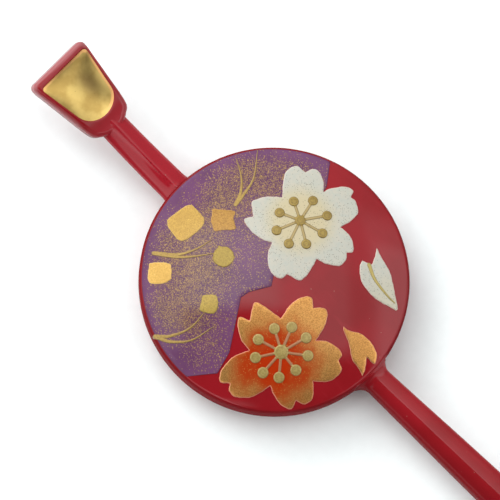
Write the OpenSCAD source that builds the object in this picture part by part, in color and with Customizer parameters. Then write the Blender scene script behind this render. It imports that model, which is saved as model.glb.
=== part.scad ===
// Lacquered hairpin with a scoop head, a domed ornament plate and one long pin.
// The plate lies on its flat back. The origin is the middle of that back, +X runs
// along the stick to the pin's tip and +Z is up, out of the painted front.

/* [Plate] */
// Diameter of the round plate across its rim
disc_d = 38; // [34:0.5:44]
// Thickness of the plate at its middle
disc_h = 9; // [8:0.1:11]
// Radius of the domed front
dome_r = 60; // [50:1:90]
// Radius that rounds the front into the rim
front_edge_r = 1.1; // [0.9:0.1:2]
// Radius that rounds the rim into the flat back
back_edge_r = 3.2; // [2:0.1:3.6]

/* [Scoop and neck] */
// Height of the stick's middle line over the plate's back
stick_z = 3.5; // [2.8:0.1:3.8]
// Width of the neck at the scoop's shoulders
neck_w = 4.2; // [3.4:0.1:5.2]
// Width of the neck at the plate's rim
neck_root_w = 4.5; // [3.6:0.1:5.4]
// Thickness of the neck
neck_h = 3.3; // [2.6:0.1:4.2]
// Length of the neck between the plate's rim and the scoop's shoulders
neck_l = 12.4; // [8:0.1:20]
// Length of the scoop from its shoulders to its flat end
scoop_l = 12.2; // [10:0.1:16]
// Width of the scoop at its flat end
scoop_w = 9.9; // [8.5:0.1:12]
// Thickness of the scoop
scoop_h = 3.2; // [2.6:0.1:4]
// Turn of scoop and neck in plan about the plate's middle
stem_turn = 0.3; // [-2:0.1:2]
// Angle to which the neck bends up before the scoop
scoop_lift = 15; // [5:1:25]
// Land left between the hollow and the scoop's flat end
dish_end_land = 1.15; // [1.05:0.05:2]
// Land left between the hollow and the scoop's sides at its flat end
dish_side_land = 0.58; // [0.5:0.02:1.2]
// Land left between the hollow and the shoulders
dish_neck_land = 2.2; // [1.2:0.1:3]
// Width of the hollow where its round end begins
dish_round_w = 6.5; // [5:0.1:6.8]
// Distance of the hollow off the scoop's middle line
dish_shift = 0.15; // [-0.25:0.05:0.25]
// Radius of the hollow's two far corners
dish_corner_r = 0.5; // [0.3:0.05:0.8]
// Depth of the hollow at its middle
dish_depth = 1.1; // [0.8:0.05:1.4]
// Thickness of the gilding in the hollow
gilt_t = 0.15; // [0.1:0.01:0.25]

/* [Pin] */
// Length of the pin from the plate's rim to its tip
pin_l = 102.7; // [80:0.1:130]
// Greatest width of the pin
pin_w = 5.3; // [4.4:0.1:6]
// Greatest thickness of the pin
pin_h = 4; // [3.2:0.1:4.6]
// Radius of the hollow fillet round the pin's root
root_fillet_r = 1.4; // [0.8:0.1:2]
// Length of the rounding at the pin's tip
tip_l = 3; // [2:0.1:6]
// Sharpness of the soft ridge along neck and pin, 2 for none
ridge = 1.5; // [1.3:0.05:2]

/* [Painted ground] */
// Bare rim left round the purple ground
field_margin = 0.3; // [0.2:0.05:0.8]
// Thickness of the purple ground
field_t = 0.12; // [0.08:0.01:0.2]

/* [Blossoms and petals] */
// Reach of the white blossom's petals from its middle
white_r = 8.8; // [7.5:0.1:9.4]
// Reach of the orange blossom's petals from its middle
orange_r = 9; // [7.5:0.1:9.4]
// Raised thickness of blossoms and loose petals
petal_t = 0.22; // [0.15:0.01:0.35]
// Length of the loose white petal
white_petal_l = 9; // [7:0.1:10]
// Half width of the loose white petal
white_petal_w = 2.5; // [1.8:0.1:3]
// Length of the loose orange petal
orange_petal_l = 7; // [5.5:0.1:7.4]
// Half width of the loose orange petal
orange_petal_w = 1.9; // [1.4:0.1:2.2]
// Width of the vein at the open end of the white petal
vein_w = 0.44; // [0.3:0.02:0.6]

/* [Stamens] */
// Reach of the white blossom's longest stamen
white_stamen_l = 3.9; // [3:0.1:4.4]
// Reach of the orange blossom's longest stamen
orange_stamen_l = 4; // [3.2:0.1:4.4]
// Diameter of the white blossom's stamen heads
white_head_d = 1.46; // [1:0.02:1.7]
// Diameter of the orange blossom's stamen heads
orange_head_d = 1.62; // [1:0.02:1.8]
// Diameter of the white blossom's eye
white_eye_d = 1.56; // [1:0.02:2.4]
// Diameter of the orange blossom's eye
orange_eye_d = 2.08; // [1:0.02:2.4]
// Width of a stamen's thread
thread_w = 0.3; // [0.2:0.02:0.5]
// Raised thickness of the stamens
stamen_t = 0.24; // [0.15:0.01:0.35]

/* [Gold leaf and grass] */
// Thickness of the gold leaf pieces and grass blades
leaf_t = 0.14; // [0.1:0.01:0.25]
// Diameter of the round gold spot
dot_d = 3; // [2:0.1:3.6]
// Width of a grass blade at its root
blade_w = 0.66; // [0.4:0.02:0.9]
// Width of a grass blade at its tip
blade_tip_w = 0.16; // [0.1:0.02:0.3]

/* [Hidden] */

// clearance between a painted layer and what it lies on or beside
gap = 0.03;
// clearance between the plate's rim and the wooden parts that butt against it
joint_gap = 0.03;
// how far neck and pin are drawn into the plate before its rim trims them
stick_sink = 1.3;

disc_r = disc_d / 2;
dome_z = disc_h - dome_r;
edge_x = disc_r - front_edge_r;
// the edge circle sits a hair high, so dome and edge cross at a clean line
hair = 0.03;
edge_z = dome_z + sqrt(pow(dome_r - front_edge_r, 2) - edge_x * edge_x) + hair;
// the two roundings of the rim leave at least this much upright between them
least_rim = 0.2;
back_r = min(back_edge_r, edge_z - least_rim);
// height of the spaces that cut or bound the layers, clear of the plate's top
band_h = disc_h + 3;

// the neck is an arc, level at the plate's rim and lifted at the scoop's shoulders
neck_bend_r = neck_l / sin(scoop_lift);
shoulder_x = -(disc_r + neck_l);
shoulder_z = stick_z + neck_bend_r * (1 - cos(scoop_lift));
// height of the hollow's lip and floor over the scoop's middle plane
lip_z = 0.46 * scoop_h;
dish_floor_z = lip_z - dish_depth;
// length of the hollow's round end as a share of its width
dish_round = 0.44;
// share of the root fillet that shows over and under the pin, how much it rounds
// the ridge, and the share of the pin's size left flat at its very tip
fillet_up = 0.55;
fillet_soft = 0.5;
tip_flat = 0.05;
// points round a section of the stick, and facets of large and of small circles
sections = 40;
smooth = 256;
fine = 96;
small = 32;

// Scoop sections, from the flat end to the shoulders.
// Columns: place along scoop_l, width as share of scoop_w, thickness as share of
// scoop_h, squareness across, squareness upright
SCOOP = [
    [0.000, 0.84, 0.62, 9.0, 4.0],
    [0.014, 0.92, 0.80, 9.5, 5.0],
    [0.045, 0.98, 0.94, 10, 7.0],
    [0.100, 1.00, 1.00, 10, 7.0],
    [0.190, 0.965, 1.00, 10, 7.0],
    [0.360, 0.905, 1.00, 10, 7.0],
    [0.530, 0.845, 1.00, 10, 7.0],
    [0.700, 0.785, 1.00, 9.0, 5.0],
    [0.820, 0.735, 1.00, 7.0, 4.0],
    [0.900, 0.69, 1.00, 5.0, 3.2],
    [0.945, 0.62, 1.01, 3.4, 2.6],
    [0.975, 0.51, 1.02, 2.2, 2.2]
];

// Places of the neck's sections, from the shoulders to the plate's rim, as shares
// of neck_l
NECK = [0.85, 0.68, 0.51, 0.34, 0.17, 0.00];

// Pin sections, from the plate's rim to the tip.
// Columns: place along pin_l, width as share of pin_w, thickness as share of pin_h
PIN = [
    [0.00, 0.74, 0.84],
    [0.06, 0.79, 0.88],
    [0.14, 0.87, 0.93],
    [0.21, 0.93, 0.97],
    [0.29, 0.98, 1.00],
    [0.37, 1.00, 1.00],
    [0.54, 0.95, 0.97],
    [0.70, 0.83, 0.86],
    [0.84, 0.67, 0.72],
    [1.00, 0.44, 0.52]
];

// Places of the sections of the fillet round the pin's root, as shares of
// root_fillet_r
ROOT = [0.04, 0.11, 0.26, 0.47, 0.71, 1.00];

// Bowl of the scoop's hollow, from its lip down.
// Columns: reach as share of the lip's outline, depth as share of dish_depth
BOWL = [
    [1.00, 0.00], [0.97, 0.24], [0.91, 0.47], [0.81, 0.68], [0.66, 0.86], [0.48, 0.96], [0.30, 1.00]
];

// Middles of the two blossoms, as shares of disc_r along X and Y
WHITE_AT = [-0.158, 0.424];
ORANGE_AT = [0.418, -0.382];

// Petals of the white blossom, one row each, counter-clockwise.
// Columns: valley, side, shoulder, lobe, notch, lobe, shoulder, side.
// Each cell: direction in degrees, reach as share of white_r
WHITE_PETALS = [
    [[36, 0.65], [45, 0.81], [54, 0.95], [65, 0.97], [71, 0.93], [76, 1.02], [83, 0.95], [92, 0.75]],
    [[96, 0.63], [104, 0.78], [112, 0.89], [119, 0.92], [127, 0.83], [136, 0.93], [146, 0.88], [154, 0.74]],
    [[170, 0.48], [186, 0.65], [198, 0.79], [204, 0.82], [219, 0.75], [223, 0.89], [235, 0.82], [250, 0.70]],
    [[263, 0.59], [272, 0.79], [284, 0.97], [295, 1.01], [300, 0.91], [312, 0.98], [318, 0.93], [325, 0.82]],
    [[336, 0.68], [344, 0.81], [354, 0.95], [363, 0.96], [369, 0.90], [374, 0.97], [383, 0.90], [391, 0.77]]
];

// Petals of the orange blossom, with the same columns, as shares of orange_r
ORANGE_PETALS = [
    [[3, 0.66], [10, 0.79], [18, 0.91], [29, 0.98], [37, 0.90], [43, 0.95], [51, 0.86], [59, 0.71]],
    [[63, 0.57], [74, 0.77], [83, 0.93], [90, 0.96], [98, 0.85], [104, 0.96], [111, 0.94], [122, 0.77]],
    [[135, 0.52], [150, 0.68], [159, 0.84], [165, 0.85], [179, 0.69], [184, 0.84], [192, 0.80], [206, 0.66]],
    [[221, 0.50], [229, 0.74], [240, 0.96], [249, 1.04], [255, 0.92], [260, 0.99], [268, 0.97], [281, 0.80]],
    [[296, 0.54], [304, 0.65], [313, 0.78], [324, 0.87], [332, 0.77], [339, 0.86], [348, 0.86], [356, 0.76]]
];

// Stamens of each blossom. Columns: direction in degrees, reach as share of the
// blossom's stamen length
WHITE_STAMENS = [
    [14, 0.92], [56, 1.00], [102, 0.90], [151, 0.75], [203, 0.79], [248, 0.94], [288, 0.97], [327, 0.90]
];
ORANGE_STAMENS = [
    [37, 0.94], [74, 1.00], [111, 0.93], [151, 0.84], [196, 0.91], [236, 0.92], [272, 0.95], [309, 0.87],
    [354, 0.80]
];

// Loose petals: foot as shares of disc_r, and direction from the foot in degrees
WHITE_PETAL_AT = [0.805, 0.455];
WHITE_PETAL_TURN = 163;
ORANGE_PETAL_AT = [0.61, 0.079];
ORANGE_PETAL_TURN = -7.5;

// Outlines of the loose petals in smooth stretches between sharp corners.
// Each cell: along the petal's length, across as share of its half width
WHITE_PETAL = [
    [[0.80, 0.00], [0.92, 0.40]],
    [[0.92, 0.40], [0.86, 0.68], [0.69, 0.98], [0.52, 1.00], [0.29, 0.76], [0.08, 0.25], [0.00, 0.05]],
    [[0.00, 0.05], [0.02, -0.12], [0.19, -0.31], [0.37, -0.53], [0.58, -0.72], [0.80, -0.70], [1.00, -0.73]],
    [[1.00, -0.73], [0.88, -0.35], [0.80, 0.00]]
];
ORANGE_PETAL = [
    [[0.77, 0.00], [0.90, 0.07], [0.98, 0.18]],
    [[0.98, 0.18], [0.85, 0.74], [0.61, 0.94], [0.34, 0.74], [0.13, 0.14], [0.00, 0.00]],
    [[0.00, 0.00], [0.07, -0.19], [0.35, -0.50], [0.60, -0.96], [0.81, -1.00], [1.00, -1.08]],
    [[1.00, -1.08], [0.94, -0.66], [0.77, 0.00]]
];
VEIN = [[0.815, 0.165], [0.57, 0.28], [0.27, 0.10], [0.10, -0.10]];

// Gold leaf pieces. Columns: X and Y as shares of disc_r, length, width, turn in
// degrees, corner radius, narrowing of one end as a share of the width
GOLD_LEAF = [
    [-0.755, -0.163, 4.6, 3.7, 81, 0.95, 0.10],
    [-0.558, 0.038, 3.0, 2.9, 41, 0.30, 0.04],
    [-0.626, -0.571, 3.2, 3.2, 42, 0.80, 0.00],
    [-0.205, -0.492, 2.3, 2.3, 41, 0.50, 0.12]
];

// Middle of the round gold spot, as shares of disc_r
DOT_AT = [-0.374, -0.168];

// Grass sprays, two blades each. Each cell of a blade: shares of disc_r, from the
// common root to the blade's tip
GRASS = [
    [
        [[-0.584, 0.184], [-0.620, 0.275], [-0.700, 0.370], [-0.830, 0.455]],
        [[-0.584, 0.184], [-0.595, 0.280], [-0.632, 0.430], [-0.763, 0.616]]
    ],
    [
        [[-0.771, -0.489], [-0.632, -0.380], [-0.560, -0.258], [-0.526, -0.132]],
        [[-0.771, -0.489], [-0.621, -0.395], [-0.521, -0.295], [-0.426, -0.172]]
    ],
    [
        [[-0.334, -0.926], [-0.253, -0.850], [-0.187, -0.708], [-0.192, -0.535]],
        [[-0.334, -0.926], [-0.224, -0.879], [-0.118, -0.768], [-0.068, -0.590]]
    ]
];

// Edge of the purple ground across the plate, as shares of disc_r, and its
// way round outside the plate
FIELD_EDGE = [
    [-0.330, 0.950], [-0.200, 0.762], [-0.008, -0.022], [0.033, -0.086], [-0.056, -0.232],
    [-0.071, -0.300], [0.147, -0.645], [0.188, -0.812], [0.045, -0.973]
];
FIELD_ROUND = [[0.05, -1.3], [-1.3, -1.3], [-1.3, 1.3], [-0.40, 1.3]];

// a point on a smooth curve that passes through b and c
function bend(a, b, c, d, t) =
    0.5 * ((2 * b) + (c - a) * t + (2 * a - 5 * b + 4 * c - d) * t * t + (3 * b - a - 3 * c + d) * t * t * t);

// smooth stretch through a row of points, without its last point
function stretch(p, steps) =
    let (n = len(p))
    [for (i = [0:n - 2]) for (k = [0:steps - 1])
        bend(i == 0 ? 2 * p[0] - p[1] : p[i - 1], p[i], p[i + 1],
             i == n - 2 ? 2 * p[n - 1] - p[n - 2] : p[i + 2], k / steps)];

// the stretch with its last point
function whole_stretch(p, steps) = concat(stretch(p, steps), [p[len(p) - 1]]);

function spoke(a) = [cos(a), sin(a)];

// outline of a blossom from its table of petals
function blossom_outline(petals, at, reach) =
    let (n = len(petals))
    [for (i = [0:n - 1])
        let (
            row = [for (cell = petals[i]) at + reach * cell[1] * spoke(cell[0])],
            after = petals[(i + 1) % n][0],
            valley = at + reach * after[1] * spoke(after[0]))
        each concat(
            stretch([row[0], row[1], row[2], row[3], row[4]], 4),
            stretch([row[4], row[5], row[6], row[7], valley], 4))];

// a petal's own length and width laid out from its foot
function from_foot(cell, at, turn, length, width) =
    at + length * cell[0] * spoke(turn) + width * cell[1] * spoke(turn + 90);

function petal_outline(table, at, turn, length, width) =
    [for (part = table) each stretch([for (cell = part) from_foot(cell, at, turn, length, width)], 4)];

// a closed outline moved outwards by a clearance
function grow(p, by) =
    let (n = len(p))
    [for (i = [0:n - 1])
        let (
            along = p[(i + 1) % n] - p[(i + n - 1) % n],
            out = [along[1], -along[0]] / norm(along))
        p[i] + by * out];

// a tapering blade along a curve, round at its root
function blade_outline(line, from_w, to_w) =
    let (
        n = len(line),
        side = [for (i = [0:n - 1])
            let (
                along = line[min(i + 1, n - 1)] - line[max(i - 1, 0)],
                half = (from_w + (to_w - from_w) * i / (n - 1)) / 2)
            half * [-along[1], along[0]] / norm(along)],
        back = from_w / 2 * (line[0] - line[1]) / norm(line[0] - line[1]))
    concat(
        [for (i = [0:n - 1]) line[i] + side[i]],
        [for (i = [n - 1:-1:0]) line[i] - side[i]],
        [for (a = [45, 0, -45]) line[0] + cos(a) * back - sin(a) * side[0]]);

// a four-cornered leaf with round corners, narrower at one end
function leaf_outline(row) =
    let (
        r = row[5],
        x = row[2] / 2 - r,
        far = row[3] / 2 * (1 - row[6]) - r,
        near = row[3] / 2 * (1 + row[6]) - r,
        corners = [[x, far, 0], [-x, near, 90], [-x, -near, 180], [x, -far, 270]])
    [for (c = corners) for (a = [0:22.5:90])
        let (p = [c[0], c[1]] + r * spoke(c[2] + a))
        disc_r * [row[0], row[1]] + p[0] * spoke(row[4]) + p[1] * spoke(row[4] + 90)];

// outline of the scoop's hollow in the scoop's own frame, drawn in by a clearance
function dish_outline(in) =
    let (
        far_x = -(scoop_l - dish_end_land) + in,
        far_w = scoop_w / 2 - dish_side_land - in,
        round_w = dish_round_w / 2 - in,
        round_l = dish_round * dish_round_w,
        mid_x = -dish_neck_land - in - round_l,
        slope = (far_w - round_w) / (mid_x - far_x),
        side = atan(slope),
        lean = atan(slope * round_l / round_w),
        r = dish_corner_r,
        corner = [far_x + r, far_w - r * slope - r / cos(side)],
        steps = 16)
    [for (p = concat(
        [for (k = [0:4]) corner + r * spoke(90 - side + (90 + side) * k / 4)],
        [for (k = [0:4]) [corner[0], -corner[1]] + r * spoke(180 + (90 + side) * k / 4)],
        [for (k = [0:steps])
            let (t = 180 - lean - (180 - 2 * lean) * k / steps)
            [mid_x + round_l * sin(t), round_w * cos(t)]]))
        p + [0, dish_shift]];

// one section of the stick: middle, width, thickness, squareness across and
// upright, and the angle at which it leans back
function ring(mid, w, h, across, upright, lean = 0) =
    [for (i = [0:sections - 1])
        let (
            a = 360 * i / sections,
            y = w / 2 * sign(cos(a)) * pow(abs(cos(a)), 2 / across),
            z = h / 2 * sign(sin(a)) * pow(abs(sin(a)), 2 / upright))
        mid + [z * sin(lean), y, z * cos(lean)]];

// a solid through a row of sections
module loft(rings) {
    n = len(rings);
    m = len(rings[0]);
    points = [for (r = rings) each r];
    walls = [for (i = [0:n - 2]) for (k = [0:m - 1])
        let (k2 = (k + 1) % m)
        [i * m + k, (i + 1) * m + k, (i + 1) * m + k2, i * m + k2]];
    start = [for (k = [0:m - 1]) k];
    end = [for (k = [m - 1:-1:0]) (n - 1) * m + k];
    polyhedron(points = points, faces = concat([start], walls, [end]));
}

// half section of the plate's front, grown by a clearance
module front_section(by) {
    intersection() {
        translate([0, dome_z])
            circle(dome_r + by, $fn = smooth);
        union() {
            translate([0, edge_z])
                square([edge_x, band_h]);
            translate([edge_x, edge_z])
                circle(front_edge_r + by, $fn = fine);
        }
        translate([0, edge_z])
            square([disc_r + band_h, band_h]);
    }
}

// the whole plate: front, upright rim and rounded back
module plate() {
    rotate_extrude($fn = smooth)
        front_section(0);
    translate([0, 0, back_r])
        cylinder(r = disc_r, h = edge_z - back_r, $fn = smooth);
    rotate_extrude($fn = smooth)
        intersection() {
            union() {
                square([disc_r - back_r, back_r]);
                translate([disc_r - back_r, back_r])
                    circle(back_r, $fn = fine);
            }
            square([disc_r + band_h, back_r]);
        }
}

// what trims neck and pin at the plate: its rim turned from one outline, grown by the
// clearance of the joint
module rim_trimmer() {
    back = [for (a = [-90:6:0]) [disc_r - back_r, back_r] + (back_r + joint_gap) * spoke(a)];
    front = [for (a = [0:6:72]) [edge_x, edge_z] + (front_edge_r + joint_gap) * spoke(a)];
    rotate_extrude($fn = smooth)
        polygon(concat([[0, -joint_gap]], back, front, [[0, band_h]]));
}

// a layer of paint or leaf on the front: the children's outline, lifted off the
// plate by one size and as thick as the other
module layer(lift, thick) {
    intersection() {
        rotate_extrude($fn = smooth)
            difference() {
                front_section(lift + thick);
                front_section(lift);
            }
        linear_extrude(band_h)
            children();
    }
}

// scoop and neck turned in plan about the plate's middle
module turned() {
    rotate([0, 0, -stem_turn])
        children();
}

// the scoop's own frame: its shoulders at the origin, its flat end towards -X
module at_scoop() {
    translate([shoulder_x, 0, shoulder_z])
        rotate([0, scoop_lift, 0])
            children();
}

// a section of the hollow: its lip's outline drawn in to a share of its reach
function bowl_ring(in, share, z) =
    let (mid = [-(scoop_l - dish_end_land + dish_neck_land) / 2, dish_shift])
    [for (p = dish_outline(in)) let (q = mid + share * (p - mid)) [q[0], q[1], z]];

// the hollow's sections from its floor up to its lip, drawn in by a clearance
function bowl_rings(in, floor_z) =
    [for (i = [len(BOWL) - 1:-1:0])
        bowl_ring(in, BOWL[i][0], lip_z + (floor_z - lip_z) * BOWL[i][1])];

module disc() {
    color("#a32a35")
        plate();
}

module stem() {
    out = [-cos(scoop_lift), 0, sin(scoop_lift)];
    shoulder = [shoulder_x, 0, shoulder_z];
    last = [1, neck_w / scoop_w, neck_h / scoop_h, ridge, 2];
    table = whole_stretch(concat(SCOOP, [last]), 2);
    head = [for (s = table)
        ring(shoulder + (1 - s[0]) * scoop_l * out, s[1] * scoop_w, s[2] * scoop_h, s[3], s[4], scoop_lift)];
    neck = [for (share = NECK)
        let (lean = asin(share * sin(scoop_lift)))
        ring([-(disc_r + share * neck_l), 0, stick_z + neck_bend_r * (1 - cos(lean))],
            neck_root_w + (neck_w - neck_root_w) * share, neck_h, ridge, 2, lean)];
    inside = ring([-(disc_r - stick_sink), 0, stick_z], neck_root_w, neck_h, ridge, 2);
    color("#a32a35")
        difference() {
            turned()
                difference() {
                    loft(concat(head, neck, [inside]));
                    at_scoop()
                        loft(concat(bowl_rings(0, dish_floor_z), [bowl_ring(0, 1, scoop_h)]));
                }
            rim_trimmer();
        }
}

module pin() {
    body_l = pin_l - tip_l;
    table = whole_stretch(PIN, 3);
    // sizes of the pin at a place along it, as a share of pin_l
    function size_at(share) = [
        pin_w * lookup(share, [for (s = table) [s[0], s[1]]]),
        pin_h * lookup(share, [for (s = table) [s[0], s[2]]])];
    // how far the hollow fillet stands out at a place on it, as a share of its radius
    function flare(share) = root_fillet_r * (1 - sqrt(1 - pow(1 - share, 2)));
    // a section of the root, set at a distance from the rim
    function root_ring(share, d) =
        let (s = size_at(max(d, 0) / pin_l), f = flare(share))
        ring([disc_r + d, 0, stick_z], s[0] + 2 * f, s[1] + 2 * fillet_up * f,
            ridge + fillet_soft * f / root_fillet_r, 2);
    inside = root_ring(ROOT[0], -stick_sink);
    root = [for (share = ROOT) root_ring(share, share * root_fillet_r)];
    body = [for (k = [1:18])
        let (d = root_fillet_r + (body_l - root_fillet_r) * k / 18, s = size_at(d / pin_l))
        ring([disc_r + d, 0, stick_z], s[0], s[1], ridge, 2)];
    tip = [for (a = [15:15:75])
        let (d = body_l + tip_l * sin(a), s = size_at(d / pin_l))
        ring([disc_r + d, 0, stick_z], s[0] * cos(a), s[1] * cos(a), ridge, 2)];
    end = ring([disc_r + pin_l, 0, stick_z], pin_w * tip_flat, pin_h * tip_flat, 2, 2);
    color("#a32a35")
        difference() {
            loft(concat([inside], root, body, tip, [end]));
            rim_trimmer();
        }
}

module gilt_dish() {
    color("#d2ab52")
        turned()
            at_scoop()
                difference() {
                    loft(bowl_rings(gap, dish_floor_z + gap));
                    loft(concat(bowl_rings(gap + gilt_t, dish_floor_z + gap + gilt_t),
                        [bowl_ring(gap + gilt_t, 1, scoop_h)]));
                }
}

module purple_field() {
    color("#7a5679")
        layer(gap, field_t)
            difference() {
                intersection() {
                    polygon(disc_r * concat(FIELD_EDGE, FIELD_ROUND));
                    circle(disc_r - field_margin, $fn = smooth);
                }
                polygon(grow(blossom_outline(WHITE_PETALS, disc_r * WHITE_AT, white_r), gap));
                polygon(grow(blossom_outline(ORANGE_PETALS, disc_r * ORANGE_AT, orange_r), gap));
            }
}

module blossom(petals, at, reach) {
    layer(gap, petal_t)
        polygon(blossom_outline(petals, at, reach));
}

// eye, threads and round heads, on top of a blossom
module stamens(table, at, reach, head_d, eye_d) {
    layer(petal_t + 2 * gap, stamen_t)
        union() {
            translate(at)
                circle(d = eye_d, $fn = small);
            for (s = table)
                translate(at)
                    rotate(s[0]) {
                        translate([0, -thread_w / 2])
                            square([reach * s[1], thread_w]);
                        translate([reach * s[1], 0])
                            circle(d = head_d, $fn = small);
                    }
        }
}

module white_blossom() {
    color("#d8d6c4")
        blossom(WHITE_PETALS, disc_r * WHITE_AT, white_r);
}

module white_stamens() {
    color("#b39a4c")
        stamens(WHITE_STAMENS, disc_r * WHITE_AT, white_stamen_l, white_head_d, white_eye_d);
}

module orange_blossom() {
    color("#cf6f33")
        blossom(ORANGE_PETALS, disc_r * ORANGE_AT, orange_r);
}

module orange_stamens() {
    color("#bcae68")
        stamens(ORANGE_STAMENS, disc_r * ORANGE_AT, orange_stamen_l, orange_head_d, orange_eye_d);
}

module white_petal() {
    color("#d2cbbb")
        layer(gap, petal_t)
            polygon(petal_outline(WHITE_PETAL, disc_r * WHITE_PETAL_AT, WHITE_PETAL_TURN,
                white_petal_l, white_petal_w));
}

module petal_vein() {
    line = whole_stretch([for (cell = VEIN)
        from_foot(cell, disc_r * WHITE_PETAL_AT, WHITE_PETAL_TURN, white_petal_l, white_petal_w)], 5);
    color("#b8a456")
        layer(petal_t + 2 * gap, leaf_t)
            polygon(blade_outline(line, vein_w, blade_tip_w));
}

module orange_petal() {
    color("#d09a4e")
        layer(gap, petal_t)
            polygon(petal_outline(ORANGE_PETAL, disc_r * ORANGE_PETAL_AT, ORANGE_PETAL_TURN,
                orange_petal_l, orange_petal_w));
}

module gold_leaf(i) {
    color(["#e2b553", "#d49b52", "#f2c56a", "#b5a04e"][i])
        layer(field_t + 2 * gap, leaf_t)
            polygon(leaf_outline(GOLD_LEAF[i]));
}

module gold_dot() {
    color("#b9a24b")
        layer(field_t + 2 * gap, leaf_t)
            translate(disc_r * DOT_AT)
                circle(d = dot_d, $fn = fine);
}

// two blades from one root; they stop short of the spot and the leaf they reach
module grass_spray(i) {
    color("#b8974a")
        layer(field_t + 2 * gap, leaf_t)
            difference() {
                union() {
                    for (blade = GRASS[i])
                        polygon(blade_outline(whole_stretch(disc_r * blade, 6), blade_w, blade_tip_w));
                }
                translate(disc_r * DOT_AT)
                    circle(d = dot_d + 2 * gap, $fn = fine);
                polygon(grow(leaf_outline(GOLD_LEAF[3]), gap));
            }
}

disc();
stem();
pin();
gilt_dish();
purple_field();
white_blossom();
white_stamens();
orange_blossom();
orange_stamens();
white_petal();
petal_vein();
orange_petal();
for (i = [0:3])
    gold_leaf(i);
gold_dot();
for (i = [0:2])
    grass_spray(i);
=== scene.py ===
"""Looks, light and camera for a red lacquered hairpin that lies on a pale table.

Shapes are worked out in millimetres in the part's own frame and turned to metres when
a mesh is made. The sizes of a finish's patterns are in millimetres too. The origin is
the middle of the round plate's flat back, +X runs along the stick to the pin's tip, and
+Z is up, out of the painted front.
"""

from __future__ import annotations

import logging
import math
from dataclasses import dataclass, field
from enum import Enum
from typing import Any

import bmesh
import bpy
import numpy as np
from mathutils import Matrix, Vector
from mathutils.geometry import delaunay_2d_cdt


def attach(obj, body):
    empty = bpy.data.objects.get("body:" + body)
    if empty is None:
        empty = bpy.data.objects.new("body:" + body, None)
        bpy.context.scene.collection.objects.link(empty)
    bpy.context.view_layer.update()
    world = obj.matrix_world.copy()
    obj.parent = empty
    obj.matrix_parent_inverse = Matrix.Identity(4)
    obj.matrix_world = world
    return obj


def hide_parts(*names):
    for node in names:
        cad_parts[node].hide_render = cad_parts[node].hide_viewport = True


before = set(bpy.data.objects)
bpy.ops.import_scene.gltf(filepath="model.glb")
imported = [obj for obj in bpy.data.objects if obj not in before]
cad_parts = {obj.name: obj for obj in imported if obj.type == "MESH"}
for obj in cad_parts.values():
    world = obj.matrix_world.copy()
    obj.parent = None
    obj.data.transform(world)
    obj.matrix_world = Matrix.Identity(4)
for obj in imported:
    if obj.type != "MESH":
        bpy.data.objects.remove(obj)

MM = 0.001
LOG = logging.getLogger("hairpin")


def linear(code: str) -> tuple[float, float, float, float]:
    """Turns an sRGB hex colour to Blender's linear values.

    Args:
        code: A # and six hex digits.

    Returns:
        Red, green, blue and alpha, linear.
    """
    parts = [int(code[i:i + 2], 16) / 255 for i in (1, 3, 5)]
    rgb = [p / 12.92 if p <= 0.04045 else ((p + 0.055) / 1.055) ** 2.4 for p in parts]
    return rgb[0], rgb[1], rgb[2], 1.0


def per_mm(size: float) -> float:
    """Turns a pattern's size in millimetres to the scale that a texture node takes."""
    return 1 / (size * MM)


def add_node(tree: bpy.types.NodeTree, kind: str, inputs: dict[Any, Any] | None = None, **settings: Any) -> Any:
    """Adds one node with its settings and links.

    Args:
        tree: The node tree that gets the node.
        kind: Blender's name for the node's type, without ShaderNode before it.
        inputs: Socket name or number to a value, or to another node's output.
        settings: Attributes of the node itself.

    Returns:
        The new node's outputs, by name or number.
    """
    node = tree.nodes.new("ShaderNode" + kind)
    for name, value in settings.items():
        setattr(node, name, value)
    for key, value in (inputs or {}).items():
        if isinstance(value, bpy.types.NodeSocket):
            tree.links.new(value, node.inputs[key])
        else:
            node.inputs[key].default_value = value
    return node.outputs


def smooth_curve(points: Any, steps: int) -> np.ndarray:
    """Runs a smooth curve through a row of points.

    Args:
        points: The points, one per row, in any number of dimensions.
        steps: How many new points each stretch gets.

    Returns:
        The denser row, from the first point to the last.
    """
    p = np.asarray(points, float)
    ends = np.vstack([2 * p[0] - p[1], p, 2 * p[-1] - p[-2]])
    rows = []
    for i in range(1, len(ends) - 2):
        a, b, c, d = ends[i - 1], ends[i], ends[i + 1], ends[i + 2]
        for t in np.arange(steps) / steps:
            rows.append(0.5 * (2 * b + (c - a) * t + (2 * a - 5 * b + 4 * c - d) * t * t
                               + (3 * b - a - 3 * c + d) * t ** 3))
    return np.array(rows + [p[-1]])


def even_steps(line: np.ndarray, step: float, closed: bool = True) -> np.ndarray:
    """Cuts each straight run of a line into equal pieces no longer than a step.

    Args:
        line: The line's points.
        step: Length of the longest piece.
        closed: Whether the line runs on from its last point to its first.

    Returns:
        The denser line.
    """
    corners = np.vstack([line, line[:1]]) if closed else line
    rows: list[np.ndarray] = []
    for a, b in zip(corners, corners[1:]):
        count = max(1, math.ceil(np.linalg.norm(b - a) / step))
        rows.extend(a + (b - a) * k / count for k in range(count))
    return np.array(rows if closed else [*rows, corners[-1]])


def spoke(degrees: float) -> np.ndarray:
    """Gives the unit vector at an angle from +X."""
    return np.array([math.cos(math.radians(degrees)), math.sin(math.radians(degrees))])


def sideways(line: np.ndarray) -> np.ndarray:
    """Gives the unit vector to the left at each point of a closed line."""
    along = np.roll(line, -1, axis=0) - np.roll(line, 1, axis=0)
    return np.stack([-along[:, 1], along[:, 0]], 1) / np.linalg.norm(along, axis=1)[:, None]


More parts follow.
